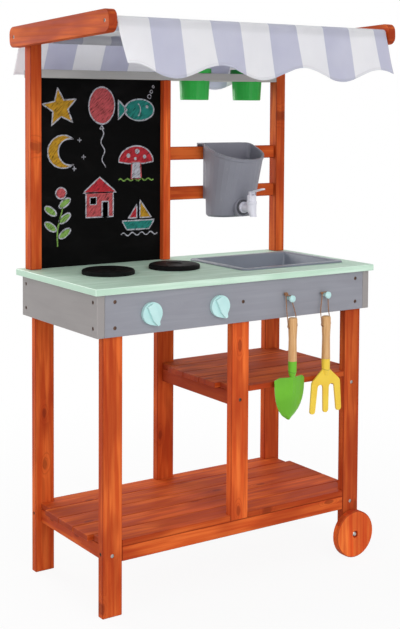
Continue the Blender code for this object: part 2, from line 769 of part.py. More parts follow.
def add_hobs(root):
    edge = 0.0035
    groove = 0.0015
    profile = [
        (0, HOB_HEIGHT - groove),
        (HOB_RADIUS * 0.26, HOB_HEIGHT - groove),
        (HOB_RADIUS * 0.32, HOB_HEIGHT),
        (HOB_RADIUS - edge * 1.4, HOB_HEIGHT),
        (HOB_RADIUS - edge * 0.4, HOB_HEIGHT - edge * 0.4),
        (HOB_RADIUS, HOB_HEIGHT - edge),
        (HOB_RADIUS, 0),
        (0, 0),
    ]
    mesh = turned_mesh("hob", profile, 36)
    places = (("hob_left", HOB_LEFT_X, HOB_LEFT_Y), ("hob_right", HOB_RIGHT_X, HOB_RIGHT_Y))
    for name, x, y in places:
        place(name, mesh.copy(), "black_enamel", (x, y, WORKTOP_HEIGHT + GAP), parent=root)


# Knobs and pegs, which stand on the front panel with their axes along Y

def knob_outline():
    """A circle drawn out into a beak that points down."""
    reach = KNOB_BEAK - KNOB_BEAK_RADIUS
    taper = math.asin((KNOB_RADIUS - KNOB_BEAK_RADIUS) / reach)
    steps = 20
    outline = []
    for k in range(steps + 1):
        angle = -taper + (math.pi + 2 * taper) * k / steps
        outline.append((KNOB_RADIUS * math.cos(angle), KNOB_RADIUS * math.sin(angle)))
    for k in range(5):
        angle = math.pi + taper + (math.pi - 2 * taper) * k / 4
        outline.append((KNOB_BEAK_RADIUS * math.cos(angle),
                        -reach + KNOB_BEAK_RADIUS * math.sin(angle)))
    return outline


def add_knobs(root):
    front = -FRAME_DEPTH / 2
    z = APRON_TOP - KNOB_DROP
    spindle_end = -(APRON_FACE_THICKNESS + KNOB_SPINDLE_END)
    overlap = KNOB_BASE * 0.5
    high = KNOB_RADIUS - 2 * KNOB_EDGE
    half = KNOB_BAR_HALF_WIDTH
    low = -KNOB_BEAK + KNOB_BEAK_RADIUS * 0.5
    bar_outline = [(-half, high, 0.0015), (-half, -KNOB_RADIUS * 0.45, 0.0),
                   (-half * 0.35, low, 0.001), (half * 0.35, low, 0.001),
                   (half, -KNOB_RADIUS * 0.45, 0.0), (half, high, 0.0015)]
    for name, x in zip(("knob_left", "knob_right"), KNOB_X):
        axis = empty(name + "_axis", (x, front - GAP, z),
                     (math.radians(90), 0, 0), root)
        turn = (0, 0, -math.radians(KNOB_TURN))
        knob = place(name, plate_mesh(name, knob_outline(), KNOB_BASE), "mint_plastic",
                     (0, 0, KNOB_BASE / 2), turn, axis)
        ease_edges(knob, KNOB_EDGE, 2)
        spindle = rods_mesh(name + "_spindle", [((0, 0, spindle_end), (0, 0, KNOB_BASE / 2),
                                                 KNOB_SPINDLE_RADIUS)])
        fuse(knob, as_cutter(name + "_spindle", spindle, parent=axis))
        bar = as_cutter(name + "_bar", plate_mesh(name + "_bar", filleted(bar_outline, 2),
                                                  KNOB_BAR + overlap),
                        (0, 0, KNOB_BASE + (KNOB_BAR - overlap) / 2), turn, axis)
        ease_edges(bar, 0.0012, 2)
        fuse(knob, bar)


def add_pegs(root):
    dome = 0.0025
    neck = PEG_LENGTH - 0.0075
    profile = [
        (0, PEG_LENGTH),
        (PEG_HEAD_RADIUS * 0.6, PEG_LENGTH - dome * 0.25),
        (PEG_HEAD_RADIUS, PEG_LENGTH - dome),
        (PEG_HEAD_RADIUS, neck + dome * 0.6),
        (PEG_RADIUS, neck),
        (PEG_RADIUS, 0),
        (PEG_TENON_RADIUS, 0),
        (PEG_TENON_RADIUS, -APRON_FACE_THICKNESS),
        (0, -APRON_FACE_THICKNESS),
    ]
    mesh = turned_mesh("hook_peg", profile, 16)
    for name, x in zip(("hook_peg_left", "hook_peg_right"), PEG_X):
        place(name, mesh.copy(), "mint_plastic",
              (x, -FRAME_DEPTH / 2 - GAP, APRON_TOP - PEG_DROP), (math.radians(90), 0, 0), root)


# Wheels

def add_wheels(root):
    bore = WHEEL_BOLT_RADIUS + GAP
    half = WHEEL_THICKNESS / 2
    chamfer = 0.002
    floor = half - WHEEL_COUNTERBORE_DEPTH
    hub = -half - WHEEL_HUB
    profile = [
        (bore, floor),
        (WHEEL_COUNTERBORE_RADIUS, floor),
        (WHEEL_COUNTERBORE_RADIUS, half),
        (WHEEL_RADIUS - chamfer, half),
        (WHEEL_RADIUS, half - chamfer),
        (WHEEL_RADIUS, -half + chamfer),
        (WHEEL_RADIUS - chamfer, -half),
        (WHEEL_HUB_RADIUS, -half),
        (WHEEL_HUB_RADIUS, hub),
        (bore, hub),
    ]
    wheel = turned_mesh("wheel", profile, 36, bored=True)
    shank_end = hub - GAP - WHEEL_BOLT_GRIP
    head_low = floor + GAP
    bolt_profile = [
        (0, head_low + WHEEL_BOLT_HEAD),
        (WHEEL_BOLT_HEAD_RADIUS * 0.6, head_low + WHEEL_BOLT_HEAD),
        (WHEEL_BOLT_HEAD_RADIUS, head_low + WHEEL_BOLT_HEAD * 0.5),
        (WHEEL_BOLT_HEAD_RADIUS, head_low),
        (WHEEL_BOLT_RADIUS, head_low),
        (WHEEL_BOLT_RADIUS, shank_end),
        (0, shank_end),
    ]
    bolt = turned_mesh("wheel_bolt", bolt_profile, 12)
    for row, side in (("front", -1), ("back", 1)):
        centre = (LEG_X, side * (LEG_OUTER_Y + GAP - hub), WHEEL_RADIUS)
        turn = (math.radians(-90 * side), 0, 0)
        place(f"wheel_{row}", wheel.copy(), "stained_wood", centre, turn, root)
        place(f"wheel_bolt_{row}", bolt.copy(), "steel", centre, turn, root)


def ring_mesh(name, inner, outer, height, steps, flats=0):
    """A washer, or a nut with a number of flats, round a bore along Z."""
    profile = [(inner, height), (outer, height), (outer, 0), (inner, 0)]
    mesh = turned_mesh(name, profile, steps, bored=True)
    if flats:
        half_turn = math.pi / flats
        for vertex in mesh.vertices:
            across = Vector(vertex.co[:2])
            if across.length > (inner + outer) / 2:
                offset = math.atan2(across.y, across.x) % (2 * half_turn) - half_turn
                across *= math.cos(half_turn) / math.cos(offset)
                vertex.co.x, vertex.co.y = across
    return mesh


# Uprights, chalkboard, slats, top shelf and pots

def add_uprights(root):
    foot = WORKTOP_HEIGHT + GAP
    board_front = POST_FRONT_Y + BOARD_SETBACK
    board_back = board_front + BOARD_THICKNESS
    shelf_foot = SHELF_BOTTOM - GAP
    middle_left = MIDDLE_POST_X - MIDDLE_POST_WIDTH / 2
    for column, side in (("left", -1), ("right", 1)):
        x = side * POST_X
        post = board(f"post_{column}", (x - POST_WIDTH / 2, POST_FRONT_Y, foot),
                     (x + POST_WIDTH / 2, POST_BACK_Y, foot + POST_HEIGHT), "stained_wood", root)
        if column == "left":
            cut_groove(post, "post_left_groove", -POST_INNER_X, -1, board_front, board_back,
                       foot, shelf_foot, root)
    post = board("post_middle", (middle_left, POST_FRONT_Y, foot),
                 (middle_left + MIDDLE_POST_WIDTH, POST_FRONT_Y + MIDDLE_POST_DEPTH, shelf_foot),
                 "stained_wood", root)
    cut_groove(post, "post_middle_groove", middle_left, 1, board_front, board_back,
               foot, shelf_foot, root)
    reach = GROOVE_DEPTH - GAP
    board("chalkboard", (-POST_INNER_X - reach, board_front, foot),
          (middle_left + reach, board_back, shelf_foot), "chalkboard_paint", root, 0.0006)


def cut_groove(post, name, face_x, inward, front, back, foot, top, root):
    """A stopped-free groove from the foot of a post up to the shelf."""
    beyond = 0.01
    xs = sorted((face_x + inward * GROOVE_DEPTH, face_x - inward * beyond))
    low = Vector((xs[0], front - GAP, foot - beyond))
    high = Vector((xs[1], back + GAP, top + GAP))
    cut(post, as_cutter(name, box_mesh(name, high - low), (low + high) / 2, parent=root))


def add_slats(root):
    left = MIDDLE_POST_X + MIDDLE_POST_WIDTH / 2 + GAP
    right = POST_INNER_X - GAP
    for name, rise in (("slat_lower", SLAT_LOWER_RISE), ("slat_upper", SLAT_UPPER_RISE)):
        z = WORKTOP_HEIGHT + rise
        board(name, (left, SLAT_Y - SLAT_THICKNESS / 2, z - SLAT_HEIGHT / 2),
              (right, SLAT_Y + SLAT_THICKNESS / 2, z + SLAT_HEIGHT / 2), "stained_wood", root)


def add_top_shelf(root):
    half = POST_INNER_X - GAP
    shelf = board("top_shelf", (-half, POST_FRONT_Y, SHELF_BOTTOM),
                  (half, SHELF_BACK_Y, SHELF_TOP), "shelf_paint", root)
    y = POST_FRONT_Y + POT_BACK
    drill(shelf, "pot_holes", [((x, y, SHELF_BOTTOM - 0.01), (x, y, SHELF_TOP + 0.01),
                                POT_HOLE_RADIUS) for x in POT_X], root, 32)


def add_pots(root):
    wall = POT_WALL
    bead = 0.0012
    profile = [
        (0, -POT_BODY + wall),
        (POT_BOTTOM_RADIUS - wall, -POT_BODY + wall),
        (POT_SHOULDER_RADIUS - wall, 0),
        (POT_RIM_RADIUS - wall - bead, POT_RIM_HEIGHT),
        (POT_RIM_RADIUS, POT_RIM_HEIGHT),
        (POT_RIM_RADIUS, 0),
        (POT_SHOULDER_RADIUS, 0),
        (POT_BOTTOM_RADIUS + bead, -POT_BODY + bead),
        (POT_BOTTOM_RADIUS, -POT_BODY),
        (0, -POT_BODY),
    ]
    mesh = turned_mesh("pot", profile, 28)
    y = POST_FRONT_Y + POT_BACK
    for name, x in zip(("pot_left", "pot_right"), POT_X):
        place(name, mesh.copy(), "green_plastic", (x, y, SHELF_TOP + GAP), parent=root)


# Awning

def add_arms(root):
    frame = empty("awning_frame", (0, BACK_ROD_Y, BACK_ROD_Z), (-ARM_TILT, 0, 0), root)
    front = -ROD_SPAN - ROD_END_FRONT
    back = ROD_END_BACK
    half = ARM_HEIGHT / 2
    corners = [(front, -half, ARM_CORNER), (back, -half, ARM_CORNER),
               (back, half, ARM_CORNER), (front, half, ARM_CORNER)]
    outline = filleted(corners, 5)
    stand = Matrix.Rotation(math.radians(90), 4, "Z") @ Matrix.Rotation(math.radians(90), 4, "X")
    for column, side in (("left", -1), ("right", 1)):
        name = f"awning_arm_{column}"
        mesh = plate_mesh(name, outline, ARM_THICKNESS)
        mesh.transform(stand)
        arm = place(name, mesh, "stained_wood",
                    (side * (ARM_INNER_X + ARM_THICKNESS / 2), 0, 0), parent=frame)
        ease_edges(arm)
        face = side * (ARM_INNER_X + ARM_THICKNESS)
        sink_screws(arm, [((face, y, 0), (side, 0, 0)) for y in (-ROD_SPAN, 0)], frame)
    length = 2 * (ARM_INNER_X - GAP)
    for name, y in (("awning_rod_front", -ROD_SPAN), ("awning_rod_back", 0)):
        mesh = rods_mesh(name, [((-length / 2, 0, 0), (length / 2, 0, 0), ROD_RADIUS)], 24)
        smooth(mesh)
        place(name, mesh, "stained_wood", (0, y, 0), parent=frame)


def back_flare():
    """Slope of the back valance from the rod down past the top shelf's back corner."""
    across = SHELF_BACK_Y - BACK_ROD_Y
    down = BACK_ROD_Z - SHELF_TOP
    spare = CLOTH_BEND - (CLOTH_GAP + CLOTH_THICKNESS / 2)
    return math.atan2(across, down) - math.asin(spare / math.hypot(across, down))


def canopy_point(x, station):
    """A point of the cloth; the whole part of the station names a stretch, front to back."""
    scallop = SCALLOP_HEIGHT * math.cos(2 * math.pi * (x - SCALLOP_CREST_X) / SCALLOP_PERIOD)
    fold = FOLD_DEPTH * math.cos(2 * math.pi * (x - SCALLOP_CREST_X) / SCALLOP_PERIOD + math.pi)
    stretch, part = divmod(station, 1)
    front = Vector((FRONT_ROD_Y, FRONT_ROD_Z))
    back = Vector((BACK_ROD_Y, BACK_ROD_Z))
    front_angle = math.pi - FRONT_FLARE
    roof_angle = math.pi / 2 - ARM_TILT
    back_angle = back_flare()

    def round_rod(centre, angle):
        return centre + CLOTH_BEND * Vector((math.cos(angle), math.sin(angle)))

    if stretch == 0:
        top = round_rod(front, front_angle)
        fall = (top.y - (FRONT_ROD_Z - FRONT_DROP + scallop)) * (1 - part)
        point = top - Vector((math.tan(FRONT_FLARE) * fall, fall))
        point.x += fold * (1 - part) ** 1.5
    elif stretch == 1:
        point = round_rod(front, front_angle + (roof_angle - front_angle) * part)
    elif stretch == 2:
        point = round_rod(front, roof_angle).lerp(round_rod(back, roof_angle), part)
    elif stretch == 3:
        point = round_rod(back, roof_angle + (back_angle - roof_angle) * part)
    else:
        top = round_rod(back, back_angle)
        knee_fall = top.y - SHELF_TOP
        knee = top + Vector((math.tan(back_angle) * knee_fall, -knee_fall))
        if stretch == 4:
            point = top.lerp(knee, part)
        else:
            fall = (knee.y - (BACK_ROD_Z - BACK_DROP + scallop)) * part
            point = knee + Vector((math.tan(BACK_HEM_FLARE) * fall, -fall))
            point.x += abs(fold) * 0.3 * part ** 2
    return Vector((x, point.x, point.y))


def add_canopy(root):
    pieces = (5, 4, 3, 4, 2, 2)     # facets in each stretch of the cloth
    half = ARM_INNER_X - CLOTH_END_PLAY
    stations = [stretch + k / count for stretch, count in enumerate(pieces) for k in range(count)]
    stations.append(HEM_BACK)
    rows = len(stations) - 1
    form = bmesh.new()
    bmesh.ops.create_grid(form, x_segments=CLOTH_COLUMNS, y_segments=rows, size=1.0)
    for vertex in form.verts:
        row = round((vertex.co.y + 1) / 2 * rows)
        vertex.co = canopy_point(vertex.co.x * half, stations[row])
    mesh = bpy.data.meshes.new("canopy")
    form.to_mesh(mesh)
    form.free()
    mesh.shade_smooth()
    canopy = place("canopy", mesh, "striped_cloth", parent=root)
    cloth = canopy.modifiers.new("Cloth", "SOLIDIFY")
    cloth.thickness = CLOTH_THICKNESS
    cloth.offset = 0
    cloth.use_even_offset = True


# Bucket with its tap

def bucket_ring(level, inset=0.0, lift=0.0):
    """D-shaped section at a level from 0, the bottom, to 1, the sloping rim."""
    def between(low, high):
        return low + (high - low) * level

    half = between(BUCKET_BOTTOM_WIDTH, BUCKET_TOP_WIDTH) / 2 - inset
    depth = between(BUCKET_BOTTOM_DEPTH, BUCKET_TOP_DEPTH)
    front_corner = between(BUCKET_BOTTOM_FRONT_CORNER, BUCKET_TOP_FRONT_CORNER)
    back_corner = between(BUCKET_BOTTOM_BACK_CORNER, BUCKET_TOP_BACK_CORNER)
    back = BUCKET_BACK_Y
    front = back - depth + inset
    round_front = front_corner - inset
    round_back = max(back_corner - inset, BUCKET_WALL * 0.6)
    corners = [(-half, front, round_front), (half, front, round_front),
               (half, back - inset, round_back), (-half, back - inset, round_back)]
    bottom = WORKTOP_HEIGHT + BUCKET_BOTTOM_RISE
    slope = (BUCKET_RIM_BACK_RISE - BUCKET_RIM_FRONT_RISE) / BUCKET_TOP_DEPTH
    ring = []
    for x, y in filleted(corners, 7):
        rim = WORKTOP_HEIGHT + BUCKET_RIM_BACK_RISE - (back - y) * slope
        ring.append(Vector((BUCKET_X + x, y, bottom + (rim - bottom) * level + lift)))
    return ring


def tap_seat_y():
    """Face of the tap boss: just in front of the bucket's wall at the seal's top."""
    level = (TAP_RISE + TAP_SEAL_RADIUS) / (BUCKET_RIM_FRONT_RISE - BUCKET_BOTTOM_RISE)
    depth = BUCKET_BOTTOM_DEPTH + (BUCKET_TOP_DEPTH - BUCKET_BOTTOM_DEPTH) * level
    return BUCKET_BACK_Y - depth - TAP_BOSS_PROUD


def add_bucket(root):
    holder = empty("bucket_place", (0, 0, 0), parent=root)
    edge = 0.03
    lip_level = 0.94
    wall = BUCKET_WALL
    outer = loft_mesh("bucket", [
        bucket_ring(0.0, BUCKET_FOOT_ROUND), bucket_ring(edge), bucket_ring(0.5),
        bucket_ring(lip_level), bucket_ring(lip_level + 0.01, -BUCKET_LIP),
        bucket_ring(1.0, -BUCKET_LIP)])
    hollow = loft_mesh("bucket_hollow", [
        bucket_ring(0.0, wall + BUCKET_FOOT_ROUND, BUCKET_FLOOR),
        bucket_ring(edge, wall, BUCKET_FLOOR), bucket_ring(0.5, wall), bucket_ring(1.1, wall)])
    bucket = place("bucket", outer, "grey_plastic", parent=holder)
    seat = tap_seat_y()
    z = WORKTOP_HEIGHT + BUCKET_BOTTOM_RISE + TAP_RISE
    pocket_end = seat + TAP_POCKET_DEPTH
    boss = as_cutter("tap_boss", rods_mesh("tap_boss", [
        ((BUCKET_X, seat, z), (BUCKET_X, seat + TAP_BOSS_DEPTH, z), TAP_BOSS_RADIUS)], 28),
        parent=holder)
    fuse(bucket, boss)
    add_hook(bucket, holder)
    cut(bucket, as_cutter("bucket_hollow", hollow, parent=holder))
    drill(bucket, "tap_nut_pocket", [((BUCKET_X, seat + TAP_BOSS_WEB, z), (BUCKET_X, pocket_end, z),
                                      TAP_NUT_RADIUS + TAP_NUT_PLAY)], holder, 24)
    drill(bucket, "tap_bore", [((BUCKET_X, seat - TAP_BOSS_WEB, z), (BUCKET_X, pocket_end, z),
                                TAP_SHANK_RADIUS + GAP)], holder, 20)
    return holder


def add_hook(bucket, holder):
    """Hook over the upper slat: a plate at the rim's height, a lip behind the slat and two
    ribs, which rest on the slat and reach down in front of both slats."""
    slat_front = SLAT_Y - SLAT_THICKNESS / 2
    slat_top = WORKTOP_HEIGHT + SLAT_UPPER_RISE + SLAT_HEIGHT / 2
    slat_back = SLAT_Y + SLAT_THICKNESS / 2
    skirt_low = WORKTOP_HEIGHT + SLAT_LOWER_RISE - SLAT_HEIGHT / 2
    wall_y = BUCKET_BACK_Y - BUCKET_WALL * 0.6
    half = BUCKET_TOP_WIDTH / 2 - HOOK_INSET
    lip_back = slat_back + GAP + HOOK_THICKNESS
    plate_top = WORKTOP_HEIGHT + BUCKET_RIM_BACK_RISE
    plate_low = plate_top - HOOK_THICKNESS
    bars = [
        ("hook_plate", (-half, wall_y, plate_low), (half, lip_back, plate_top)),
        ("hook_lip", (-half, slat_back + GAP, plate_top - HOOK_LIP_LENGTH),
         (half, lip_back, plate_top)),
    ]
    rib_half = BUCKET_BOTTOM_WIDTH / 2 - HOOK_SKIRT_INSET
    for side_name, side in (("left", -1), ("right", 1)):
        xs = sorted((side * rib_half, side * (rib_half - HOOK_THICKNESS)))
        bars.append((f"hook_skirt_{side_name}", (xs[0], wall_y, skirt_low),
                     (xs[1], slat_front - GAP, plate_top)))
        bars.append((f"hook_rib_{side_name}", (xs[0], wall_y, slat_top + GAP),
                     (xs[1], lip_back, plate_top)))
    for name, low, high in bars:
        low, high = Vector(low), Vector(high)
        middle = (low + high) / 2 + Vector((BUCKET_X, 0, 0))
        fuse(bucket, as_cutter(name, box_mesh(name, high - low), middle, parent=holder))


def add_tap(holder):
    seat = tap_seat_y()
    z = WORKTOP_HEIGHT + BUCKET_BOTTOM_RISE + TAP_RISE
    flange_back = seat - TAP_SEAL - 2 * GAP
    axis_y = flange_back - TAP_REACH
    shank_end = seat + TAP_BOSS_WEB + TAP_NUT + TAP_SHANK_END
    tap = empty("tap_axis", (BUCKET_X, axis_y, z), parent=holder)

    # Body: a turned column with a fluted cap above and a spout that leans forwards below
    body = TAP_BODY_RADIUS
    cap = TAP_CAP_RADIUS
    collar = TAP_COLLAR_RISE
    spout = TAP_SPOUT_RADIUS
    bore = spout - TAP_SPOUT_WALL
    end = -TAP_SPOUT_DROP
    bend = -body * 0.35
    ear_top = TAP_CAP_RISE + LEVER_HUB_RADIUS * 2
    profile = [
        (0, TAP_CAP_RISE),
        (cap * 0.93, TAP_CAP_RISE),
        (cap, TAP_CAP_RISE - 0.0012),
        (cap, collar),
        (body, collar - 0.001),
        (body, collar - 0.006),
        (body * 0.93, collar - 0.0075),
        (body * 0.93, bend),
        (spout + 0.001, -body * 0.85),
        (spout, end),
        (bore, end),
        (bore, end + TAP_MOUTH),
        (0, end + TAP_MOUTH),
    ]
    steps = 24
    column_mesh = turned_mesh("tap_body", profile, steps)
    for vertex in column_mesh.vertices:
        x, y, level = vertex.co
        turn = round(math.atan2(y, x) / (2 * math.pi / steps))
        if level > collar - 0.0005 and turn % 2:
            vertex.co.x = x * TAP_CAP_FLUTE
            vertex.co.y = y * TAP_CAP_FLUTE
        if level < bend:
            vertex.co.y = y - (bend - level) * TAP_SPOUT_LEAN
    column = place("tap_body", column_mesh, "white_plastic", parent=tap)
    barrel_profile = [
        (0, shank_end - axis_y),
        (TAP_SHANK_RADIUS, shank_end - axis_y),
        (TAP_SHANK_RADIUS, TAP_REACH),
        (TAP_FLANGE_RADIUS, TAP_REACH),
        (TAP_FLANGE_RADIUS, TAP_REACH - TAP_FLANGE),
        (TAP_BARREL_RADIUS, TAP_REACH - TAP_FLANGE),
        (TAP_BARREL_RADIUS, body * 0.3),
        (0, body * 0.3),
    ]
    barrel = as_cutter("tap_barrel", turned_mesh("tap_barrel", barrel_profile, 20),
                       rotation=(math.radians(-90), 0, 0), parent=tap)
    fuse(column, barrel)

    # Two ears on the cap hold the lever's pin
    ear_inner = LEVER_HUB_WIDTH / 2 + GAP
    ear_outer = ear_inner + 0.0028
    pivot = TAP_CAP_RISE + LEVER_HUB_RADIUS + 2 * GAP
    for name, side in (("tap_ear_left", -1), ("tap_ear_right", 1)):
        xs = sorted((side * ear_inner, side * ear_outer))
        size = Vector((xs[1] - xs[0], LEVER_HUB_RADIUS * 2, ear_top - TAP_CAP_RISE + 0.004))
        ear = as_cutter(name, box_mesh(name, size),
                        ((xs[0] + xs[1]) / 2, 0, TAP_CAP_RISE - 0.004 + size.z / 2), parent=tap)
        ease_edges(ear, 0.0006)
        fuse(column, ear)
    pin_reach = ear_outer - 0.0008
    drill(column, "tap_pin_hole", [((-pin_reach - GAP, 0, pivot), (pin_reach + GAP, 0, pivot),
                                    LEVER_PIN_RADIUS + GAP)], tap)

    # Lever: a hub with its pin, and a paddle that points forwards
    lever_axis = empty("tap_lever_axis", (0, 0, pivot), (-LEVER_RISE, 0, 0), tap)
    hub = rods_mesh("tap_lever", [((-LEVER_HUB_WIDTH / 2, 0, 0), (LEVER_HUB_WIDTH / 2, 0, 0),
                                   LEVER_HUB_RADIUS)], 16)
    smooth(hub)
    lever = place("tap_lever", hub, "white_plastic", parent=lever_axis)
    pin = as_cutter("tap_lever_pin", rods_mesh("tap_lever_pin", [
        ((-pin_reach, 0, 0), (pin_reach, 0, 0), LEVER_PIN_RADIUS)]), parent=lever_axis)
    fuse(lever, pin)
    neck = LEVER_HUB_RADIUS + 0.002
    half = LEVER_WIDTH / 2
    root_half = LEVER_HUB_WIDTH / 2 - GAP
    corners = [(-root_half, 0, 0), (-root_half, -neck, 0), (-half, -neck - 0.008, 0.003),
               (-half, -LEVER_LENGTH, half * 0.8), (half, -LEVER_LENGTH, half * 0.8),
               (half, -neck - 0.008, 0.003), (root_half, -neck, 0), (root_half, 0, 0)]
    paddle = as_cutter("tap_paddle", plate_mesh("tap_paddle", filleted(corners, 3),
                                                LEVER_THICKNESS),
                       (0, 0, LEVER_HUB_RADIUS - LEVER_THICKNESS * 0.6), parent=lever_axis)
    ease_edges(paddle, 0.0007)
    fuse(lever, paddle)

    # Seal outside the wall, nut inside it
    bore = TAP_SHANK_RADIUS + GAP
    seal = ring_mesh("tap_seal", bore, TAP_SEAL_RADIUS, TAP_SEAL, 24)
    place("tap_seal", seal, "rubber", (0, TAP_REACH + GAP, 0), (math.radians(-90), 0, 0), tap)
    nut = ring_mesh("tap_nut", bore, TAP_NUT_RADIUS, TAP_NUT, 24, 6)
    place("tap_nut", nut, "white_plastic",
          (0, seat + TAP_BOSS_WEB + GAP - axis_y, 0), (math.radians(-90), 0, 0), tap)


# Trowel and fork, each hung from a peg by a cord loop

TOOL_Y = -TOOL_OFFSET + PEG_LENGTH / 2 - 0.0015     # handle axis, from the loop's plane


def add_handle(name, axis, hang, shift):
    top = -hang
    low = top - TOOL_HANDLE_LENGTH
    waist = (top + low) / 2
    round_top = 0.003
    profile = [
        (0, top),
        (TOOL_HANDLE_RADIUS - round_top, top),
        (TOOL_HANDLE_RADIUS - round_top * 0.3, top - round_top * 0.3),
        (TOOL_HANDLE_RADIUS, top - round_top),
        (TOOL_HANDLE_RADIUS, top - TOOL_HOLE_DROP),
        (TOOL_WAIST_RADIUS, waist),
        (SOCKET_RADIUS, low),
        (TOOL_TENON_RADIUS, low),
        (TOOL_TENON_RADIUS, low - TOOL_TENON),
        (0, low - TOOL_TENON),
    ]
    handle = place(name, turned_mesh(name, profile, 16), "beech", (shift, TOOL_Y, 0), parent=axis)
    hole_z = top - TOOL_HOLE_DROP
    reach = TOOL_HANDLE_RADIUS * 1.5
    drill(handle, name + "_hole", [((shift - reach, TOOL_Y, hole_z), (shift + reach, TOOL_Y, hole_z),
                                    TOOL_HOLE_RADIUS)], axis, 8)


def socket_mesh(name, top):
    """The ferrule that takes the handle's tenon; it closes into the head below."""
    depth = TOOL_TENON + GAP
    bore = TOOL_TENON_RADIUS + GAP
    profile = [
        (0, top - depth),
        (bore, top - depth),
        (bore, top),
        (SOCKET_RADIUS, top),
        (SOCKET_RADIUS * 0.95, top - SOCKET_LENGTH),
        (SOCKET_RADIUS * 0.55, top - SOCKET_LENGTH - 0.012),
        (0, top - SOCKET_LENGTH - 0.014),
    ]
    return turned_mesh(name, profile, 16)


def add_trowel(axis, hang, shift):
    top = -hang - TOOL_HANDLE_LENGTH - GAP
    shoulder = top - SOCKET_LENGTH - BLADE_SHOULDER_DROP
    columns, rows = 8, 9
    form = bmesh.new()
    bmesh.ops.create_grid(form, x_segments=columns, y_segments=rows, size=1.0)
    for vertex in form.verts:
        across = vertex.co.x
        down = (1 - vertex.co.y) / 2
        width = BLADE_WIDTH / 2 * max(1 - down ** 3.2, 0.0035) ** 0.75
        corner = 0.006 * max(abs(across) - 0.75, 0) / 0.25 * (1 - down) ** 6
        ridge = 0.003 * (1 - abs(across)) * (1 - down)
        y = TOOL_Y + BLADE_HOLLOW * across ** 2 * (1 - down * 0.5) - ridge + BLADE_CURL * down ** 2
        vertex.co = Vector((shift + across * width, y, shoulder - BLADE_LENGTH * down - corner))
    mesh = bpy.data.meshes.new("trowel_blade")
    form.to_mesh(mesh)
    form.free()
    mesh.shade_smooth()
    blade = as_cutter("trowel_scoop", mesh, parent=axis)
    skin = blade.modifiers.new("Sheet", "SOLIDIFY")
    skin.thickness = BLADE_THICKNESS
    skin.offset = 0
    skin.use_even_offset = True
    socket = place("trowel_blade", socket_mesh("trowel_socket", top), "lime_enamel",
                   (shift, TOOL_Y, 0), parent=axis)
    rib_length = 0.034
    rib = rods_mesh("trowel_rib", [((shift, TOOL_Y, top - SOCKET_LENGTH + 0.004),
                                    (shift, TOOL_Y + 0.002, shoulder - rib_length),
                                    SOCKET_RADIUS * 0.55)], 12)
    fuse(socket, as_cutter("trowel_rib", rib, parent=axis))
    fuse(socket, blade)


def add_fork(axis, hang, shift):
    top = -hang - TOOL_HANDLE_LENGTH - GAP
    neck_z = top - SOCKET_LENGTH + 0.0018
    shoulder_z = neck_z - FORK_NECK
    end_z = neck_z - FORK_LENGTH
    root_z = neck_z - TINE_ROOT
    neck = SOCKET_RADIUS * 0.85
    half = FORK_WIDTH / 2
    shoulder = FORK_SHOULDER_WIDTH / 2
    tip = TINE_TIP_WIDTH * 0.45
    middle = TINE_WIDTH / 2
    inner_low = half - TINE_TIP_WIDTH
    inner_top = shoulder - TINE_WIDTH
    gap_round = (inner_top - middle) * 0.47
    right = [
        (neck, neck_z, 0), (shoulder, shoulder_z, 0.009), (half, end_z, tip),
        (inner_low, end_z, tip), (inner_top, root_z, gap_round), (middle, root_z, gap_round),
        (TINE_TIP_WIDTH / 2, end_z, tip),
    ]
    left = [(-x, z, radius) for x, z, radius in reversed(right)]
    mesh = plate_mesh("fork_plate", filleted(list(reversed(right + left)), 3), FORK_THICKNESS)
    mesh.transform(Matrix.Rotation(math.radians(90), 4, "X"))
    plate = as_cutter("fork_plate", mesh, (shift, TOOL_Y, 0), parent=axis)
    ease_edges(plate, 0.0010)
    socket = place("fork_head", socket_mesh("fork_socket", top), "yellow_enamel",
                   (shift, TOOL_Y, 0), parent=axis)
    fuse(socket, plate)


def cord_points(knot, hang, shift):
    """The loop: from the knot over the peg, down to the handle's hole and back up."""
    ring = PEG_RADIUS + GAP + CORD_RADIUS
    side = TOOL_HANDLE_RADIUS + 2 * CORD_RADIUS
    across = TOOL_HANDLE_RADIUS * 0.8
    hole = -hang - TOOL_HOLE_DROP
    knot_x, knot_z = knot
    return [
        Vector((knot_x, 0, knot_z + CORD_RADIUS + GAP)),
        Vector((knot_x * 0.62, 0, ring * 0.95 + knot_z * 0.12)),
        Vector((-ring * 0.35, 0, ring * 1.02)),
        Vector((ring * 0.55, 0, ring * 0.86)),
        Vector((ring, 0, 0)),
        Vector((ring * 1.15, 0, -0.010)),
        Vector((shift + side * 0.75, TOOL_Y * 0.4, hole * 0.5)),
        Vector((shift + side, TOOL_Y, hole * 0.85)),
        Vector((shift + side + 0.0005, TOOL_Y, hole + 0.003)),
        Vector((shift + across, TOOL_Y, hole)),
        Vector((shift - across, TOOL_Y, hole)),
        Vector((shift - side - 0.0005, TOOL_Y, hole + 0.003)),
        Vector((shift - side, TOOL_Y, hole * 0.85)),
        Vector((shift - side - 0.001, TOOL_Y * 0.4, hole * 0.5)),
        Vector((knot_x, 0, knot_z - 2 * CORD_RADIUS - 0.008)),
        Vector((knot_x, 0, knot_z - CORD_RADIUS - GAP)),
    ]


def smooth_route(chosen, steps=3):
    """Points along a smooth curve through the chosen ones."""
    route = []
    last = len(chosen) - 1
    for i in range(last):
        before, start = chosen[max(i - 1, 0)], chosen[i]
        end, after = chosen[i + 1], chosen[min(i + 2, last)]
        for k in range(steps):
            t = k / steps
            pull = (2 * start + (end - before) * t
                    + (2 * before - 5 * start + 4 * end - after) * t ** 2
                    + (3 * start - before - 3 * end + after) * t ** 3)
            route.append(pull / 2)
    route.append(chosen[last])
    return route


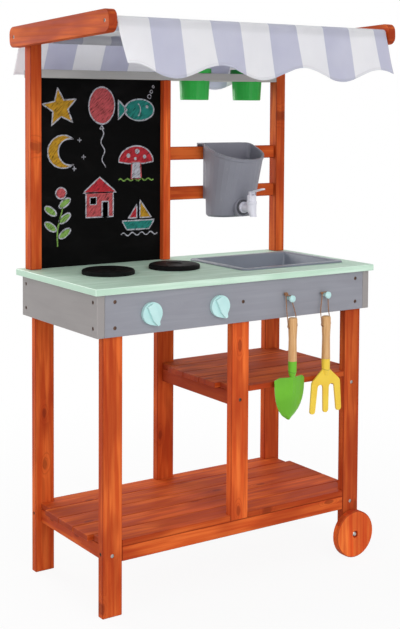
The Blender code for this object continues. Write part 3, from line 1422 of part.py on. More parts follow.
def add_cord(name, axis, knot, hang, shift):
    route = smooth_route(cord_points(knot, hang, shift))
    radii = [CORD_RADIUS] * len(route)
    for i, radius in ((0, 1.9), (1, 1.7), (-1, 1.9), (-2, 1.7)):
        radii[i] = CORD_RADIUS * radius
    place(name, tube_mesh(name, route, radii), "cord", parent=axis)


def add_tools(root):
    loop_y = -FRAME_DEPTH / 2 - PEG_LENGTH / 2 + 0.0015
    z = APRON_TOP - PEG_DROP
    tools = (("trowel", PEG_X[0], (-0.011, 0.010), TROWEL_HANG, TROWEL_SHIFT, add_trowel),
             ("fork", PEG_X[1], (-0.0105, 0.004), FORK_HANG, FORK_SHIFT, add_fork))
    for name, x, knot, hang, shift, add_head in tools:
        axis = empty(name + "_axis", (x, loop_y, z), parent=root)
        add_handle(name + "_handle", axis, hang, shift)
        add_cord(name + "_cord", axis, knot, hang, shift)
        add_head(axis, hang, shift)


def origin_shift():
    """Puts the middle of the footprint at x = 0 and y = 0."""
    left = -(ARM_INNER_X + ARM_THICKNESS)
    right = max(-left, LEG_X + WHEEL_RADIUS)
    half = ARM_INNER_X - CLOTH_END_PLAY
    columns = [half * (2 * k / CLOTH_COLUMNS - 1) for k in range(CLOTH_COLUMNS + 1)]
    front = min(canopy_point(x, 0).y for x in columns) - CLOTH_THICKNESS / 2
    back = max(canopy_point(x, HEM_BACK).y for x in columns) + CLOTH_THICKNESS / 2
    return (-(left + right) / 2, -(front + back) / 2, 0)


def build():
    root = empty("kitchen_origin", origin_shift())
    add_legs(root)
    add_rails(root)
    add_planks(root)
    add_apron(root)
    add_worktop(root)
    add_tray(root)
    add_hobs(root)
    add_knobs(root)
    add_pegs(root)
    add_wheels(root)
    add_uprights(root)
    add_slats(root)
    add_top_shelf(root)
    add_pots(root)
    add_arms(root)
    add_canopy(root)
    add_tap(add_bucket(root))
    add_tools(root)


build()
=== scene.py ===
"""Looks of the toy outdoor kitchen: finishes, awning cloth, cords, screws, chalk drawing,
floor, light and camera. Metres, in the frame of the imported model.
"""

import math

import bmesh
import bpy
from mathutils import Matrix, Vector, noise


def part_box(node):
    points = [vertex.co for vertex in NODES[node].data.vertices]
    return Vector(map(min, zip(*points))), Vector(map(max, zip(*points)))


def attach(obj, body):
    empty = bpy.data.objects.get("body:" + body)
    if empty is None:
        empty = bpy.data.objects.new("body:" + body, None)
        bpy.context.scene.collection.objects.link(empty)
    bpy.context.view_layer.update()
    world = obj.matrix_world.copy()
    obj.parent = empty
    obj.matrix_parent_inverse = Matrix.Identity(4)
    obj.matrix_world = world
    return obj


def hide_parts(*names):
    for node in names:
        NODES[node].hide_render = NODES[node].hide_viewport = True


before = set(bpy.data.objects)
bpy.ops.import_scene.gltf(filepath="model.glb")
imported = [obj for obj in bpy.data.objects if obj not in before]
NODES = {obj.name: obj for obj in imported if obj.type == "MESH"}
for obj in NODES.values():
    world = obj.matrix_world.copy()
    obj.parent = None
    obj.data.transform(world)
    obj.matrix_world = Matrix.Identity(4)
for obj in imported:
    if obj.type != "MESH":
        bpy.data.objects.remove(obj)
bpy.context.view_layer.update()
BOXES = {}


def box(node):
    """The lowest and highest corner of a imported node, measured once."""
    if node not in BOXES:
        BOXES[node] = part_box(node)
    return BOXES[node]


def corner_middle(low_node, high_node, axis):
    """Halfway between the low side of one node and the high side of another."""
    return (box(low_node)[0][axis] + box(high_node)[1][axis]) / 2


# Middle of the apron box, from which the object was measured
ORIGIN = Vector((corner_middle("apron_left", "apron_right", 0),
                 corner_middle("apron_front", "apron_back", 1), 0))


# Camera

IMAGE = (400, 629)
FOCAL_PIXELS = 1227.681
PRINCIPAL = (219.564, 173.043)
SENSOR = 36.0
CAMERA_TURN = (34.638, 3.218, 0.378)            # yaw, pitch and roll, in degrees
CAMERA_PLACE = (-1.480181, -2.216779, 1.010308)         # from ORIGIN


def add_camera():
    yaw, pitch, roll = (math.radians(a) for a in CAMERA_TURN)
    forward = Vector((math.sin(yaw) * math.cos(pitch), math.cos(yaw) * math.cos(pitch),
                      -math.sin(pitch)))
    right = Vector((math.cos(yaw), -math.sin(yaw), 0))
    up = right.cross(forward)
    turned_right = math.cos(roll) * right + math.sin(roll) * up
    turned_up = -math.sin(roll) * right + math.cos(roll) * up
    data = bpy.data.cameras.new("camera")
    data.sensor_fit = "VERTICAL"
    data.sensor_height = SENSOR
    data.lens = FOCAL_PIXELS / IMAGE[1] * SENSOR
    data.shift_x = -(PRINCIPAL[0] - IMAGE[0] / 2) / IMAGE[1]
    data.shift_y = (PRINCIPAL[1] - IMAGE[1] / 2) / IMAGE[1]
    data.clip_start = 0.05
    data.clip_end = 60
    camera = bpy.data.objects.new("camera", data)
    turn = Matrix((turned_right, turned_up, -forward)).transposed()
    place = Vector(CAMERA_PLACE) + ORIGIN
    camera.matrix_world = Matrix.Translation(place) @ turn.to_4x4()
    bpy.context.scene.collection.objects.link(camera)
    bpy.context.scene.camera = camera


add_camera()


# Shader helpers

def linear(red, green, blue):
    """An 8-bit display colour as a linear one."""
    shades = []
    for value in (red, green, blue):
        value /= 255
        shades.append(value / 12.92 if value <= 0.04045 else ((value + 0.055) / 1.055) ** 2.4)
    return (*shades, 1.0)


def set_socket(tree, node, socket, value):
    if isinstance(value, bpy.types.NodeSocket):
        tree.links.new(value, node.inputs[socket])
    elif value is not None:
        node.inputs[socket].default_value = value


def add_node(tree, kind, inputs=(), **settings):
    made = tree.nodes.new("ShaderNode" + kind)
    for key, value in settings.items():
        setattr(made, key, value)
    for socket, value in inputs:
        set_socket(tree, made, socket, value)
    return made


class Graph:
    """Builds one material's nodes."""

    def __init__(self, name, roughness=0.5, metallic=0.0, specular=0.5):
        self.material = bpy.data.materials.new(name)
        self.material.use_nodes = True
        self.tree = self.material.node_tree
        self.shader = self.tree.nodes["Principled BSDF"]
        self.set(self.shader, "Roughness", roughness)
        self.set(self.shader, "Metallic", metallic)
        self.set(self.shader, "Specular IOR Level", specular)
        self.coordinates = self.tree.nodes.new("ShaderNodeTexCoord")

    def set(self, node, socket, value):
        set_socket(self.tree, node, socket, value)

    def node(self, kind, output=0, inputs=(), **settings):
        return add_node(self.tree, kind, inputs, **settings).outputs[output]

    def math(self, operation, first, second=None, third=None, clamp=False):
        inputs = [(0, first), (1, second), (2, third)]
        return self.node("Math", 0, inputs[:3 if third is not None else 2],
                         operation=operation, use_clamp=clamp)

    def vector(self, x=0.0, y=0.0, z=0.0):
        return self.node("CombineXYZ", 0, [(0, x), (1, y), (2, z)])

    def axes(self, vector):
        return list(add_node(self.tree, "SeparateXYZ", [(0, vector)]).outputs)

    def stretched(self, parts, scales, seed=0.0):
        """A vector of parts, each scaled, moved by a seed."""
        moved = [self.math("MULTIPLY_ADD", part, scale, seed * (0.73 + 0.61 * i))
                 for i, (part, scale) in enumerate(zip(parts, scales))]
        return self.vector(*moved)

    def noise(self, vector, scale=1.0, detail=2.0, roughness=0.5, distortion=0.0):
        return self.node("TexNoise", 0, [("Vector", vector), ("Scale", scale), ("Detail", detail),
                                         ("Roughness", roughness), ("Distortion", distortion)])

    def span(self, value, low, high, out_low=0.0, out_high=1.0, smooth=True):
        return self.node("MapRange", 0, [(0, value), (1, low), (2, high), (3, out_low),
                                         (4, out_high)],
                         interpolation_type="SMOOTHSTEP" if smooth else "LINEAR")

    def ramp(self, value, stops):
        made = self.tree.nodes.new("ShaderNodeValToRGB")
        self.set(made, 0, value)
        elements = made.color_ramp.elements
        for i, (place, level) in enumerate(stops):
            element = elements[i] if i < 2 else elements.new(place)
            element.position = place
            element.color = (level, level, level, 1)
        return made.outputs[0]

    def mix(self, share, first, second):
        return self.node("Mix", 2, [(0, share), (6, first), (7, second)], data_type="RGBA")

    def bump(self, height, strength, distance, under=None):
        return self.node("Bump", 0, [("Height", height), ("Strength", strength),
                                     ("Distance", distance), ("Normal", under)])

    def finish(self, colour=None, roughness=None, normal=None):
        self.set(self.shader, "Base Color", colour)
        self.set(self.shader, "Roughness", roughness)
        self.set(self.shader, "Normal", normal)
        return self.material

    def eased_edges(self):
        """1 on the small slanted faces along a board's edges, 0 on its flat faces."""
        normal = self.axes(self.coordinates.outputs["Normal"])
        parts = [self.math("ABSOLUTE", part) for part in normal]
        widest = self.math("MAXIMUM", self.math("MAXIMUM", parts[0], parts[1]), parts[2])
        return self.span(widest, 0.78, 0.94, 1.0, 0.0)


# Finishes

STAIN = {"light": (230, 114, 52), "base": (204, 82, 32), "late": (158, 50, 19),
         "knot": (96, 30, 15), "end": (146, 48, 24), "edge": (118, 38, 20)}


def grain_order(low, high):
    """The axes of a board: along its length, across its width, through its thickness."""
    return sorted(range(3), key=lambda axis: low[axis] - high[axis])


def wood_pattern(g, parts, seed, ring_count=7.0, knots=1.0):
    """Growth rings, streaks, slow tone and knots over (along, across, through)."""
    along, across, _ = parts
    face = g.stretched((along, across), (9.0, 21.0), seed * 3.1)
    cell = add_node(g.tree, "TexVoronoi", [("Vector", face), ("Scale", 1.0), ("Randomness", 0.7)],
                    voronoi_dimensions="2D")
    near = cell.outputs["Distance"]
    chosen = g.math("GREATER_THAN", g.axes(cell.outputs["Color"])[0], 0.76)
    chosen = g.math("MULTIPLY", chosen, knots)
    wobble = g.noise(g.stretched(parts, (60, 90, 60), seed), 1.0, 2.0)
    near = g.math("MULTIPLY_ADD", g.math("SUBTRACT", wobble, 0.5), 0.10, near)
    knot = g.math("MULTIPLY", g.span(near, 0.13, 0.07), chosen)
    halo = g.math("MULTIPLY", g.span(near, 0.30, 0.04), chosen)
    rings = g.noise(g.stretched(parts, (1.3, 17, 17), seed), 1.0, 1.5, 0.4)
    rings = g.math("MULTIPLY_ADD", halo, 0.30, rings)
    rings = g.math("FRACT", g.math("MULTIPLY", rings, ring_count))
    late = g.ramp(rings, [(0.0, 0.0), (1.0, 0.05), (0.55, 0.12), (0.90, 1.0)])
    streak = g.noise(g.stretched(parts, (5, 110, 110), seed * 2.3), 1.0, 3.0, 0.6)
    tone = g.noise(g.stretched(parts, (6, 18, 18), seed * 1.7), 1.0, 2.0)
    fibre = g.noise(g.stretched(parts, (45, 1100, 1100), seed), 1.0, 1.0)
    return late, streak, tone, fibre, knot, halo


def board_parts(g, order):
    parts = g.axes(g.coordinates.outputs["Object"])
    return [parts[axis] for axis in order]


def end_mask(g, axis):
    """1 on a board's sawn ends, 0 on its other faces."""
    facing = g.math("ABSOLUTE", g.axes(g.coordinates.outputs["Normal"])[axis])
    return g.span(facing, 0.85, 0.97)


def stained_wood(name, order, seed, parts_of=board_parts, tint=1.0, knots=1.0, edge=0.6):
    """Pine boards in a red-orange stain, satin, with the grain along their length."""
    g = Graph(name, specular=0.10)
    parts = parts_of(g, order)
    late, streak, tone, fibre, knot, halo = wood_pattern(g, parts, seed, knots=knots)
    shade = {key: tuple(min(c * tint, 1) for c in linear(*rgb)[:3]) + (1,)
             for key, rgb in STAIN.items()}
    colour = g.mix(g.span(streak, 0.36, 0.66), shade["base"], shade["light"])
    colour = g.mix(g.math("MULTIPLY", late, 0.38), colour, shade["late"])
    colour = g.mix(g.span(tone, 0.62, 0.36, 0.0, 0.62), colour, shade["late"])
    colour = g.mix(g.math("MULTIPLY", halo, 0.12), colour, shade["late"])
    colour = g.mix(g.math("MULTIPLY", knot, 0.45), colour, shade["knot"])
    colour = g.mix(g.math("MULTIPLY", end_mask(g, order[0]), 0.75), colour, shade["end"])
    colour = g.mix(g.math("MULTIPLY", g.eased_edges(), edge), colour, shade["edge"])
    roughness = g.span(streak, 0.3, 0.7, 0.52, 0.70)
    height = g.math("MULTIPLY_ADD", late, 0.5, g.math("MULTIPLY", fibre, 0.8))
    return g.finish(colour, roughness, g.bump(height, 0.25, 0.0004))


def painted_wood(name, order, seed, base, pale, deep, grain=0.16, roughness=0.5, edge=0.6,
                 streaks=0.35):
    """A thin coat of paint, through which the grain still shows."""
    g = Graph(name, specular=0.3)
    parts = board_parts(g, order)
    late, streak, tone, fibre, _, _ = wood_pattern(g, parts, seed, 9.0)
    base, pale, deep = linear(*base), linear(*pale), linear(*deep)
    colour = g.mix(g.math("MULTIPLY", late, grain), base, deep)
    colour = g.mix(g.span(streak, 0.40, 0.72, 0.0, streaks), colour, pale)
    colour = g.mix(g.span(tone, 0.60, 0.35, 0.0, 0.25), colour, deep)
    colour = g.mix(g.math("MULTIPLY", end_mask(g, order[0]), 0.85), colour, base)
    # Painted highlight: the eased edges are mixed towards the pale paint colour, as if they caught
    # the light.
    colour = g.mix(g.math("MULTIPLY", g.eased_edges(), edge), colour, pale)
    shine = g.span(streak, 0.3, 0.7, roughness - 0.06, roughness + 0.10)
    height = g.math("MULTIPLY_ADD", late, 0.6, g.math("MULTIPLY", fibre, 0.6))
    return g.finish(colour, shine, g.bump(height, 0.22, 0.0004))


def moulded(name, base, varied, roughness, scale=900.0, grain=0.10, specular=0.4, scuffed=0.10):
    """Moulded plastic or enamel: fine surface grain, slow shifts of tone and faint scuffs."""
    g = Graph(name, specular=specular)
    place = g.coordinates.outputs["Object"]
    slow = g.noise(place, 14.0, 2.0)
    fine = g.noise(place, scale, 2.0)
    scuffs = g.noise(g.stretched(g.axes(place), (160, 160, 40)), 1.0, 4.0, 0.7)
    colour = g.mix(g.span(slow, 0.35, 0.70), linear(*base), linear(*varied))
    colour = g.mix(g.span(scuffs, 0.62, 0.78, 0.0, scuffed), colour, (0.8, 0.8, 0.8, 1))
    shine = g.span(scuffs, 0.35, 0.75, roughness - 0.05, roughness + 0.15)
    return g.finish(colour, shine, g.bump(fine, grain, 0.0003))


def chalkboard():
    g = Graph("chalkboard_finish", specular=0.06)
    place = g.coordinates.outputs["Object"]
    dust = g.noise(g.stretched(g.axes(place), (9, 9, 16)), 1.0, 4.0, 0.62, 0.6)
    fine = g.noise(place, 1400.0, 2.0)
    colour = g.mix(g.span(dust, 0.42, 0.85), linear(5, 5, 5), linear(22, 21, 21))
    return g.finish(colour, g.span(dust, 0.3, 0.8, 0.75, 0.92), g.bump(fine, 0.3, 0.0002))


def enamel_tool(name, base, varied, node, seam_z, head_width):
    """Enamelled steel with the dark seam below the socket and small chips along the edges."""
    g = Graph(name, specular=0.35)
    low, high = box(node)
    middle = (low.x + high.x) / 2
    place = g.coordinates.outputs["Object"]
    x, _, z = g.axes(place)
    slow = g.noise(place, 18.0, 2.0)
    fine = g.noise(place, 900.0, 2.0)
    marks = g.noise(g.stretched(g.axes(place), (260, 260, 90)), 1.0, 3.0, 0.6)
    colour = g.mix(g.span(slow, 0.35, 0.70), linear(*base), linear(*varied))
    aside = g.math("SUBTRACT", x, middle)
    sag = g.math("MULTIPLY", g.math("MULTIPLY", aside, aside), 28.0)
    level = g.math("ABSOLUTE", g.math("SUBTRACT", g.math("SUBTRACT", z, seam_z), sag))
    inside = g.span(g.math("ABSOLUTE", aside), head_width, head_width - 0.001)
    seam = g.math("MULTIPLY", g.span(level, 0.0009, 0.0004), inside)
    colour = g.mix(g.math("MULTIPLY", seam, 0.55), colour, linear(*(c * 0.35 for c in base)))
    colour = g.mix(g.span(marks, 0.70, 0.78, 0.0, 0.25), colour, linear(*(c * 0.8 for c in base)))
    shine = g.span(marks, 0.35, 0.75, 0.30, 0.46)
    return g.finish(colour, shine, g.bump(fine, 0.06, 0.0003))


def enamel_black():
    g = Graph("hot_plate_finish", specular=0.08)
    place = g.coordinates.outputs["Object"]
    slow = g.noise(place, 30.0, 3.0)
    fine = g.noise(place, 1100.0, 2.0)
    colour = g.mix(g.span(slow, 0.4, 0.7), linear(8, 8, 9), linear(17, 16, 16))
    return g.finish(colour, g.span(slow, 0.3, 0.7, 0.5, 0.64), g.bump(fine, 0.35, 0.0003))


def beech(name, seed):
    """Lacquered beech: pale, with short dark flecks along the grain."""
    g = Graph(name, specular=0.45)
    x, y, z = g.axes(g.coordinates.outputs["Object"])
    parts = (z, x, y)
    streak = g.noise(g.stretched(parts, (14, 300, 300), seed), 1.0, 3.0, 0.6)
    flecks = g.noise(g.stretched(parts, (160, 1500, 1500), seed), 1.0, 2.0, 0.7)
    colour = g.mix(g.span(streak, 0.35, 0.65), linear(205, 152, 96), linear(222, 178, 124))
    colour = g.mix(g.span(flecks, 0.60, 0.74, 0.0, 0.55), colour, linear(160, 100, 58))
    return g.finish(colour, g.span(streak, 0.3, 0.7, 0.38, 0.5), g.bump(flecks, 0.15, 0.0002))


def metal(name, colour, roughness):
    g = Graph(name, metallic=1.0)
    place = g.coordinates.outputs["Object"]
    brushed = g.noise(g.stretched(g.axes(place), (2500, 300, 2500)), 1.0, 3.0)
    tint = g.mix(g.span(brushed, 0.3, 0.7), linear(*colour), linear(*(c * 0.8 for c in colour)))
    return g.finish(tint, g.span(brushed, 0.3, 0.7, roughness, roughness + 0.15),
                    g.bump(brushed, 0.1, 0.0001))


def rubber():
    g = Graph("rubber_finish", specular=0.3)
    fine = g.noise(g.coordinates.outputs["Object"], 1500.0, 2.0)
    colour = g.mix(g.span(fine, 0.3, 0.7), linear(74, 74, 80), linear(90, 90, 96))
    return g.finish(colour, g.span(fine, 0.3, 0.7, 0.65, 0.85), g.bump(fine, 0.3, 0.0002))


def paint_node(node, material):
    slots = NODES[node].data.materials
    for i in range(len(slots)):
        slots[i] = material


def rail_and_planks(g, order):
    """The left rail of the middle shelf lies along Y, the planks fixed on it along X."""
    x, y, z = g.axes(g.coordinates.outputs["Object"])
    rail = g.math("LESS_THAN", z, box("middle_plank_front")[0].z - 0.0002)
    plank = g.math("SUBTRACT", 1.0, rail)

    def either(on_rail, on_plank):
        return g.math("ADD", g.math("MULTIPLY", on_rail, rail),
                      g.math("MULTIPLY", on_plank, plank))

    return [either(y, x), either(z, y), either(x, z)]


SHADE_LOW, SHADE_SPREAD = 0.94, 0.12    # boards differ a little from each other
PLANK_TINT = 0.92
WHEEL_TINT = 1.48
# Brightness of single boards, partly their own tone and partly painted light and shade: the middle
# post, shaded by the awning, is painted far lighter.
TONE_AND_LIGHT_TINTS = {"leg_back_left": 1.05, "post_middle": 1.34, "leg_front_left": 1.03,
         "leg_front_centre": 1.11, "leg_front_right": 0.94, "awning_arm_left": 0.88,
         "slat_upper": 0.98, "slat_lower": 0.98}


def paint_boards():
    wooden = [name for name in NODES if name.startswith((
        "leg_", "lower_rail", "middle_rail", "lower_plank", "middle_plank", "post_", "slat_",
        "awning_arm", "awning_rod"))]
    for seed, name in enumerate(sorted(wooden), 1):
        order = grain_order(*box(name))
        shade = SHADE_LOW + SHADE_SPREAD * ((seed * 7) % 10) / 9
        if name == "middle_rail_left":
            material = stained_wood(name + "_wood", (0, 1, 2), seed, rail_and_planks, shade)
        else:
            knots = 0.0 if "awning" in name else 1.0
            edge = 0.2 if "plank" in name else 0.6
            # painted light and shade per board, on top of its own tone
            shade *= TONE_AND_LIGHT_TINTS.get(name, PLANK_TINT if "plank" in name else 1.0)
            material = stained_wood(name + "_wood", order, seed, tint=shade, knots=knots,
                                    edge=edge)
        paint_node(name, material)
    for seed, name in enumerate(("wheel_front", "wheel_back"), 50):
        paint_node(name, stained_wood(name + "_wood", (2, 0, 1), seed, tint=WHEEL_TINT,
                                      knots=0.0))


def paint_panels():
    mint = {"base": (194, 225, 204), "pale": (222, 246, 230), "deep": (166, 202, 178)}
    grey = {"base": (146, 147, 156), "pale": (160, 161, 170), "deep": (130, 130, 138)}
    # The side aprons get a warmer copy of the same grey paint: painted warm light.
    warm_lit_grey = {"base": (152, 147, 146), "pale": (165, 160, 159), "deep": (136, 131, 130)}
    shelf = {"base": (182, 180, 178), "pale": (194, 192, 190), "deep": (158, 156, 154)}
    # The worktop's eased edges get the strongest painted highlight.
    paint_node("worktop", painted_wood("worktop_paint", (0, 1, 2), 61, **mint, edge=0.8,
                                       streaks=0.8))
    for seed, name in enumerate(("apron_front", "apron_back", "apron_left", "apron_right"), 62):
        order = grain_order(*box(name))
        shade = warm_lit_grey if name in ("apron_left", "apron_right") else grey
        paint_node(name, painted_wood(name + "_paint", order, seed, **shade))
    paint_node("top_shelf", painted_wood("top_shelf_paint", (0, 1, 2), 67, **shelf))


SOCKET_LENGTH = 0.0243          # from the handle's shoulder to the socket's lower end
SOCKET_SPAN = 0.0105            # half of the width in which its seam is drawn


def paint_fittings():
    mint = moulded("mint_finish", (194, 232, 231), (184, 224, 223), 0.42, grain=0.16)
    for name in ("knob_left", "knob_right", "hook_peg_left", "hook_peg_right"):
        paint_node(name, mint)
    black = enamel_black()
    for name in ("hob_left", "hob_right"):
        paint_node(name, black)
    paint_node("chalkboard", chalkboard())
    paint_node("sink_tray", moulded("tray_finish", (126, 132, 144), (118, 124, 136), 0.37,
                                    grain=0.05, scuffed=0.04))
    paint_node("bucket", moulded("bucket_finish", (138, 138, 149), (131, 131, 142), 0.46,
                                 grain=0.22))
    white = moulded("tap_finish", (234, 233, 242), (226, 225, 236), 0.34, grain=0.08)
    for name in ("tap_body", "tap_lever", "tap_nut"):
        paint_node(name, white)
    green = moulded("pot_finish", (42, 186, 72), (36, 172, 64), 0.36, specular=0.3)
    for name in ("pot_left", "pot_right"):
        paint_node(name, green)
    for node, name, base, varied in (
            ("trowel_blade", "lime_finish", (110, 188, 40), (100, 174, 34)),
            ("fork_head", "yellow_finish", (243, 208, 70), (238, 198, 60))):
        seam = box(node)[1].z - SOCKET_LENGTH
        paint_node(node, enamel_tool(name, base, varied, node, seam, SOCKET_SPAN))
    paint_node("trowel_handle", beech("trowel_beech", 3))
    paint_node("fork_handle", beech("fork_beech", 8))
    paint_node("tap_seal", rubber())
    steel = metal("steel_finish", (190, 188, 184), 0.28)
    for name in ("wheel_bolt_front", "wheel_bolt_back"):
        paint_node(name, steel)
    return steel


paint_boards()
paint_panels()
STEEL = paint_fittings()


# Mesh helpers

def piece_from(form, name, material, smooth=True):
    mesh = bpy.data.meshes.new(name)
    form.to_mesh(mesh)
    form.free()
    mesh.materials.append(material)
    if smooth:
        mesh.shade_smooth()
    made = bpy.data.objects.new(name, mesh)
    bpy.context.scene.collection.objects.link(made)
    return made


# Cord loops with their knots

CORD_RADIUS = 0.0011
LOOP_SIDE = 0.0120              # half of the loop's width beside the handle
HANDLE_REACH = 0.00784          # half of the handle's width at the hole
TROWEL_CORD = 0.180             # lengths of the loops
FORK_CORD = 0.180
KNOT_STEPS, KNOT_SIDES = 72, 8
KNOT_STRAND = 0.00125 / 0.0042          # radius of the strand, as a share of the knot's size


def cord_finish():
    """Braided cord: light and dark strands wound round its own axis."""
    g = Graph("cord_finish", specular=0.2)
    place = g.coordinates.outputs["Object"]
    strands = g.noise(g.stretched(g.axes(place), (900, 900, 2200)), 1.0, 2.0)
    colour = g.mix(g.span(strands, 0.35, 0.65), linear(112, 78, 56), linear(186, 140, 106))
    return g.finish(colour, g.span(strands, 0.3, 0.7, 0.75, 0.95), g.bump(strands, 0.6, 0.0004))


def smooth_route(chosen, steps=6):
    """Points along a smooth curve through the chosen ones."""
    route = []
    last = len(chosen) - 1
    for i in range(last):
        before, start = chosen[max(i - 1, 0)], chosen[i]
        end, after = chosen[i + 1], chosen[min(i + 2, last)]
        for k in range(steps):
            t = k / steps
            pull = (2 * start + (end - before) * t
                    + (2 * before - 5 * start + 4 * end - after) * t ** 2
                    + (3 * start - before - 3 * end + after) * t ** 3)
            route.append(pull / 2)
    route.append(chosen[last])
    return route


def loop_points(knot, shift, hang):
    """From the knot over the peg, down to the handle's hole and back up, from the peg's axis."""
    knot_x, knot_z = knot
    side, across = LOOP_SIDE, HANDLE_REACH
    tool = -0.0040
    hole = -hang - 0.022
    return [
        Vector((knot_x, 0, knot_z + 0.0014)),
        Vector((knot_x * 0.62, 0, 0.00532 + knot_z * 0.12)),
        Vector((-0.00196, 0, 0.00571)),
        Vector((0.00308, 0, 0.00482)),
        Vector((0.0056, 0, 0)),
        Vector((0.00644, 0, -0.010)),
        Vector((shift + side * 0.75, tool * 0.4, hole * 0.5)),
        Vector((shift + side, tool, hole * 0.85)),
        Vector((shift + side + 0.0005, tool, hole + 0.003)),
        Vector((shift + across, tool, hole)),
        Vector((shift - across, tool, hole)),
        Vector((shift - side - 0.0005, tool, hole + 0.003)),
        Vector((shift - side, tool, hole * 0.85)),
        Vector((shift - side - 0.001, tool * 0.4, hole * 0.5)),
        Vector((knot_x, 0, knot_z - 0.0102)),
        Vector((knot_x, 0, knot_z - 0.0014)),
    ]


def add_cord(tool, peg, knot, shift, hang, finish):
    low, high = box(peg)
    axis = Vector(((low.x + high.x) / 2, 0, (low.z + high.z) / 2))
    axis.y = box(tool + "_cord")[1].y - CORD_RADIUS
    route = [axis + point for point in smooth_route(loop_points(knot, shift, hang))]
    curve = bpy.data.curves.new(tool + "_loop", "CURVE")
    curve.dimensions = "3D"
    curve.bevel_depth = CORD_RADIUS
    curve.bevel_resolution = 3
    curve.use_fill_caps = True
    line = curve.splines.new("POLY")
    line.points.add(len(route) - 1)
    for point, co in zip(line.points, route):
        point.co = (*co, 1)
    line.use_smooth = True
    curve.materials.append(finish)
    cord = bpy.data.objects.new(tool + "_loop", curve)
    bpy.context.scene.collection.objects.link(cord)
    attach(cord, tool)
    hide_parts(tool + "_cord")
    return cord, route


def add_knot(name, centre, size, finish, body):
    """An overhand knot pulled tight: a short cord that turns twice round itself."""
    form = bmesh.new()
    steps, sides, radius = KNOT_STEPS, KNOT_SIDES, KNOT_STRAND * size
    turns = []
    for k in range(steps):
        a = 2 * math.pi * k / steps
        reach = (2 + math.cos(3 * a)) / 3
        turns.append(Vector((reach * math.cos(2 * a), reach * math.sin(2 * a) * 0.8,
                             0.55 * math.sin(3 * a))) * size * 0.82)
    rings = []
    for k, point in enumerate(turns):
        ahead = (turns[(k + 1) % steps] - turns[k - 1]).normalized()
        side = ahead.cross(Vector((0, 0, 1))).normalized()
        over = side.cross(ahead)
        rings.append([form.verts.new(centre + point + radius * (
            side * math.cos(2 * math.pi * j / sides) + over * math.sin(2 * math.pi * j / sides)))
            for j in range(sides)])
    for k in range(steps):
        first, second = rings[k], rings[(k + 1) % steps]
        for j in range(sides):
            form.faces.new((first[j], first[(j + 1) % sides], second[(j + 1) % sides], second[j]))
    knot = piece_from(form, name, finish)
    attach(knot, body)
    return knot


def add_cords():
    finish = cord_finish()
    loops = (("trowel", "hook_peg_left", (-0.011, 0.010), 0.0038, 0.0410, 0.0050, TROWEL_CORD),
             ("fork", "hook_peg_right", (-0.0105, 0.004), -0.0020, 0.0455, 0.0036, FORK_CORD))
    for tool, peg, knot_place, shift, hang, knot_size, length in loops:
        cord, route = add_cord(tool, peg, knot_place, shift, hang, finish)
        middle = (route[0] + route[-1]) / 2
        knot = add_knot(tool + "_knot", middle, knot_size, finish, tool)


add_cords()


# Awning cloth

ROD_RADIUS = 0.009
CLOTH = 0.0007
FRONT_FLARE = math.radians(14.0)
FRONT_DROP = 0.0925
BACK_DROP = 0.091
BACK_HEM_FLARE = math.radians(10.0)
SCALLOP_PERIOD = 0.206
SCALLOP_CREST_X = 0.091
SCALLOP_HEIGHT = 0.0135
STRIPE = 0.0706
STRIPE_START = -0.3355
ROOF_SAG = 0.0035
FRONT_FOLD = 0.005              # depth of the folds between the scallops
CORNER_START = -0.262           # where the front hem starts to turn out at its left end
CORNER_WIDTH = 0.072
CORNER_REACH = 0.016
ROD_GAP = 0.0005                # between a rod and the cloth round it
ARM_GAP = 0.0038                # between an arm and the cloth's end
CANOPY_COLUMNS = 220
CANOPY_ROWS = (16, 6, 24, 6, 5, 8)      # in each stretch, from the front hem to the back hem
SLEEVE_COLUMNS = 40
SLEEVE_STEPS = 18               # round the rod
SLEEVE_GAP = 0.0004
SLEEVE_REACHES = (0.0125, 0.0098, 0.0072)       # of the sewn edges, beside the rod
WEAVE = 0.0009


def rod_centre(name):
    """Y and Z of a rod's axis."""
    low, high = box(name)
    return Vector(((low.y + high.y) / 2, (low.z + high.z) / 2))


def cloth_profile():
    """Middles of the front and the back rod, and how far from them the cloth turns."""
    front, back = rod_centre("awning_rod_front"), rod_centre("awning_rod_back")
    return front, back, ROD_RADIUS + ROD_GAP + CLOTH / 2


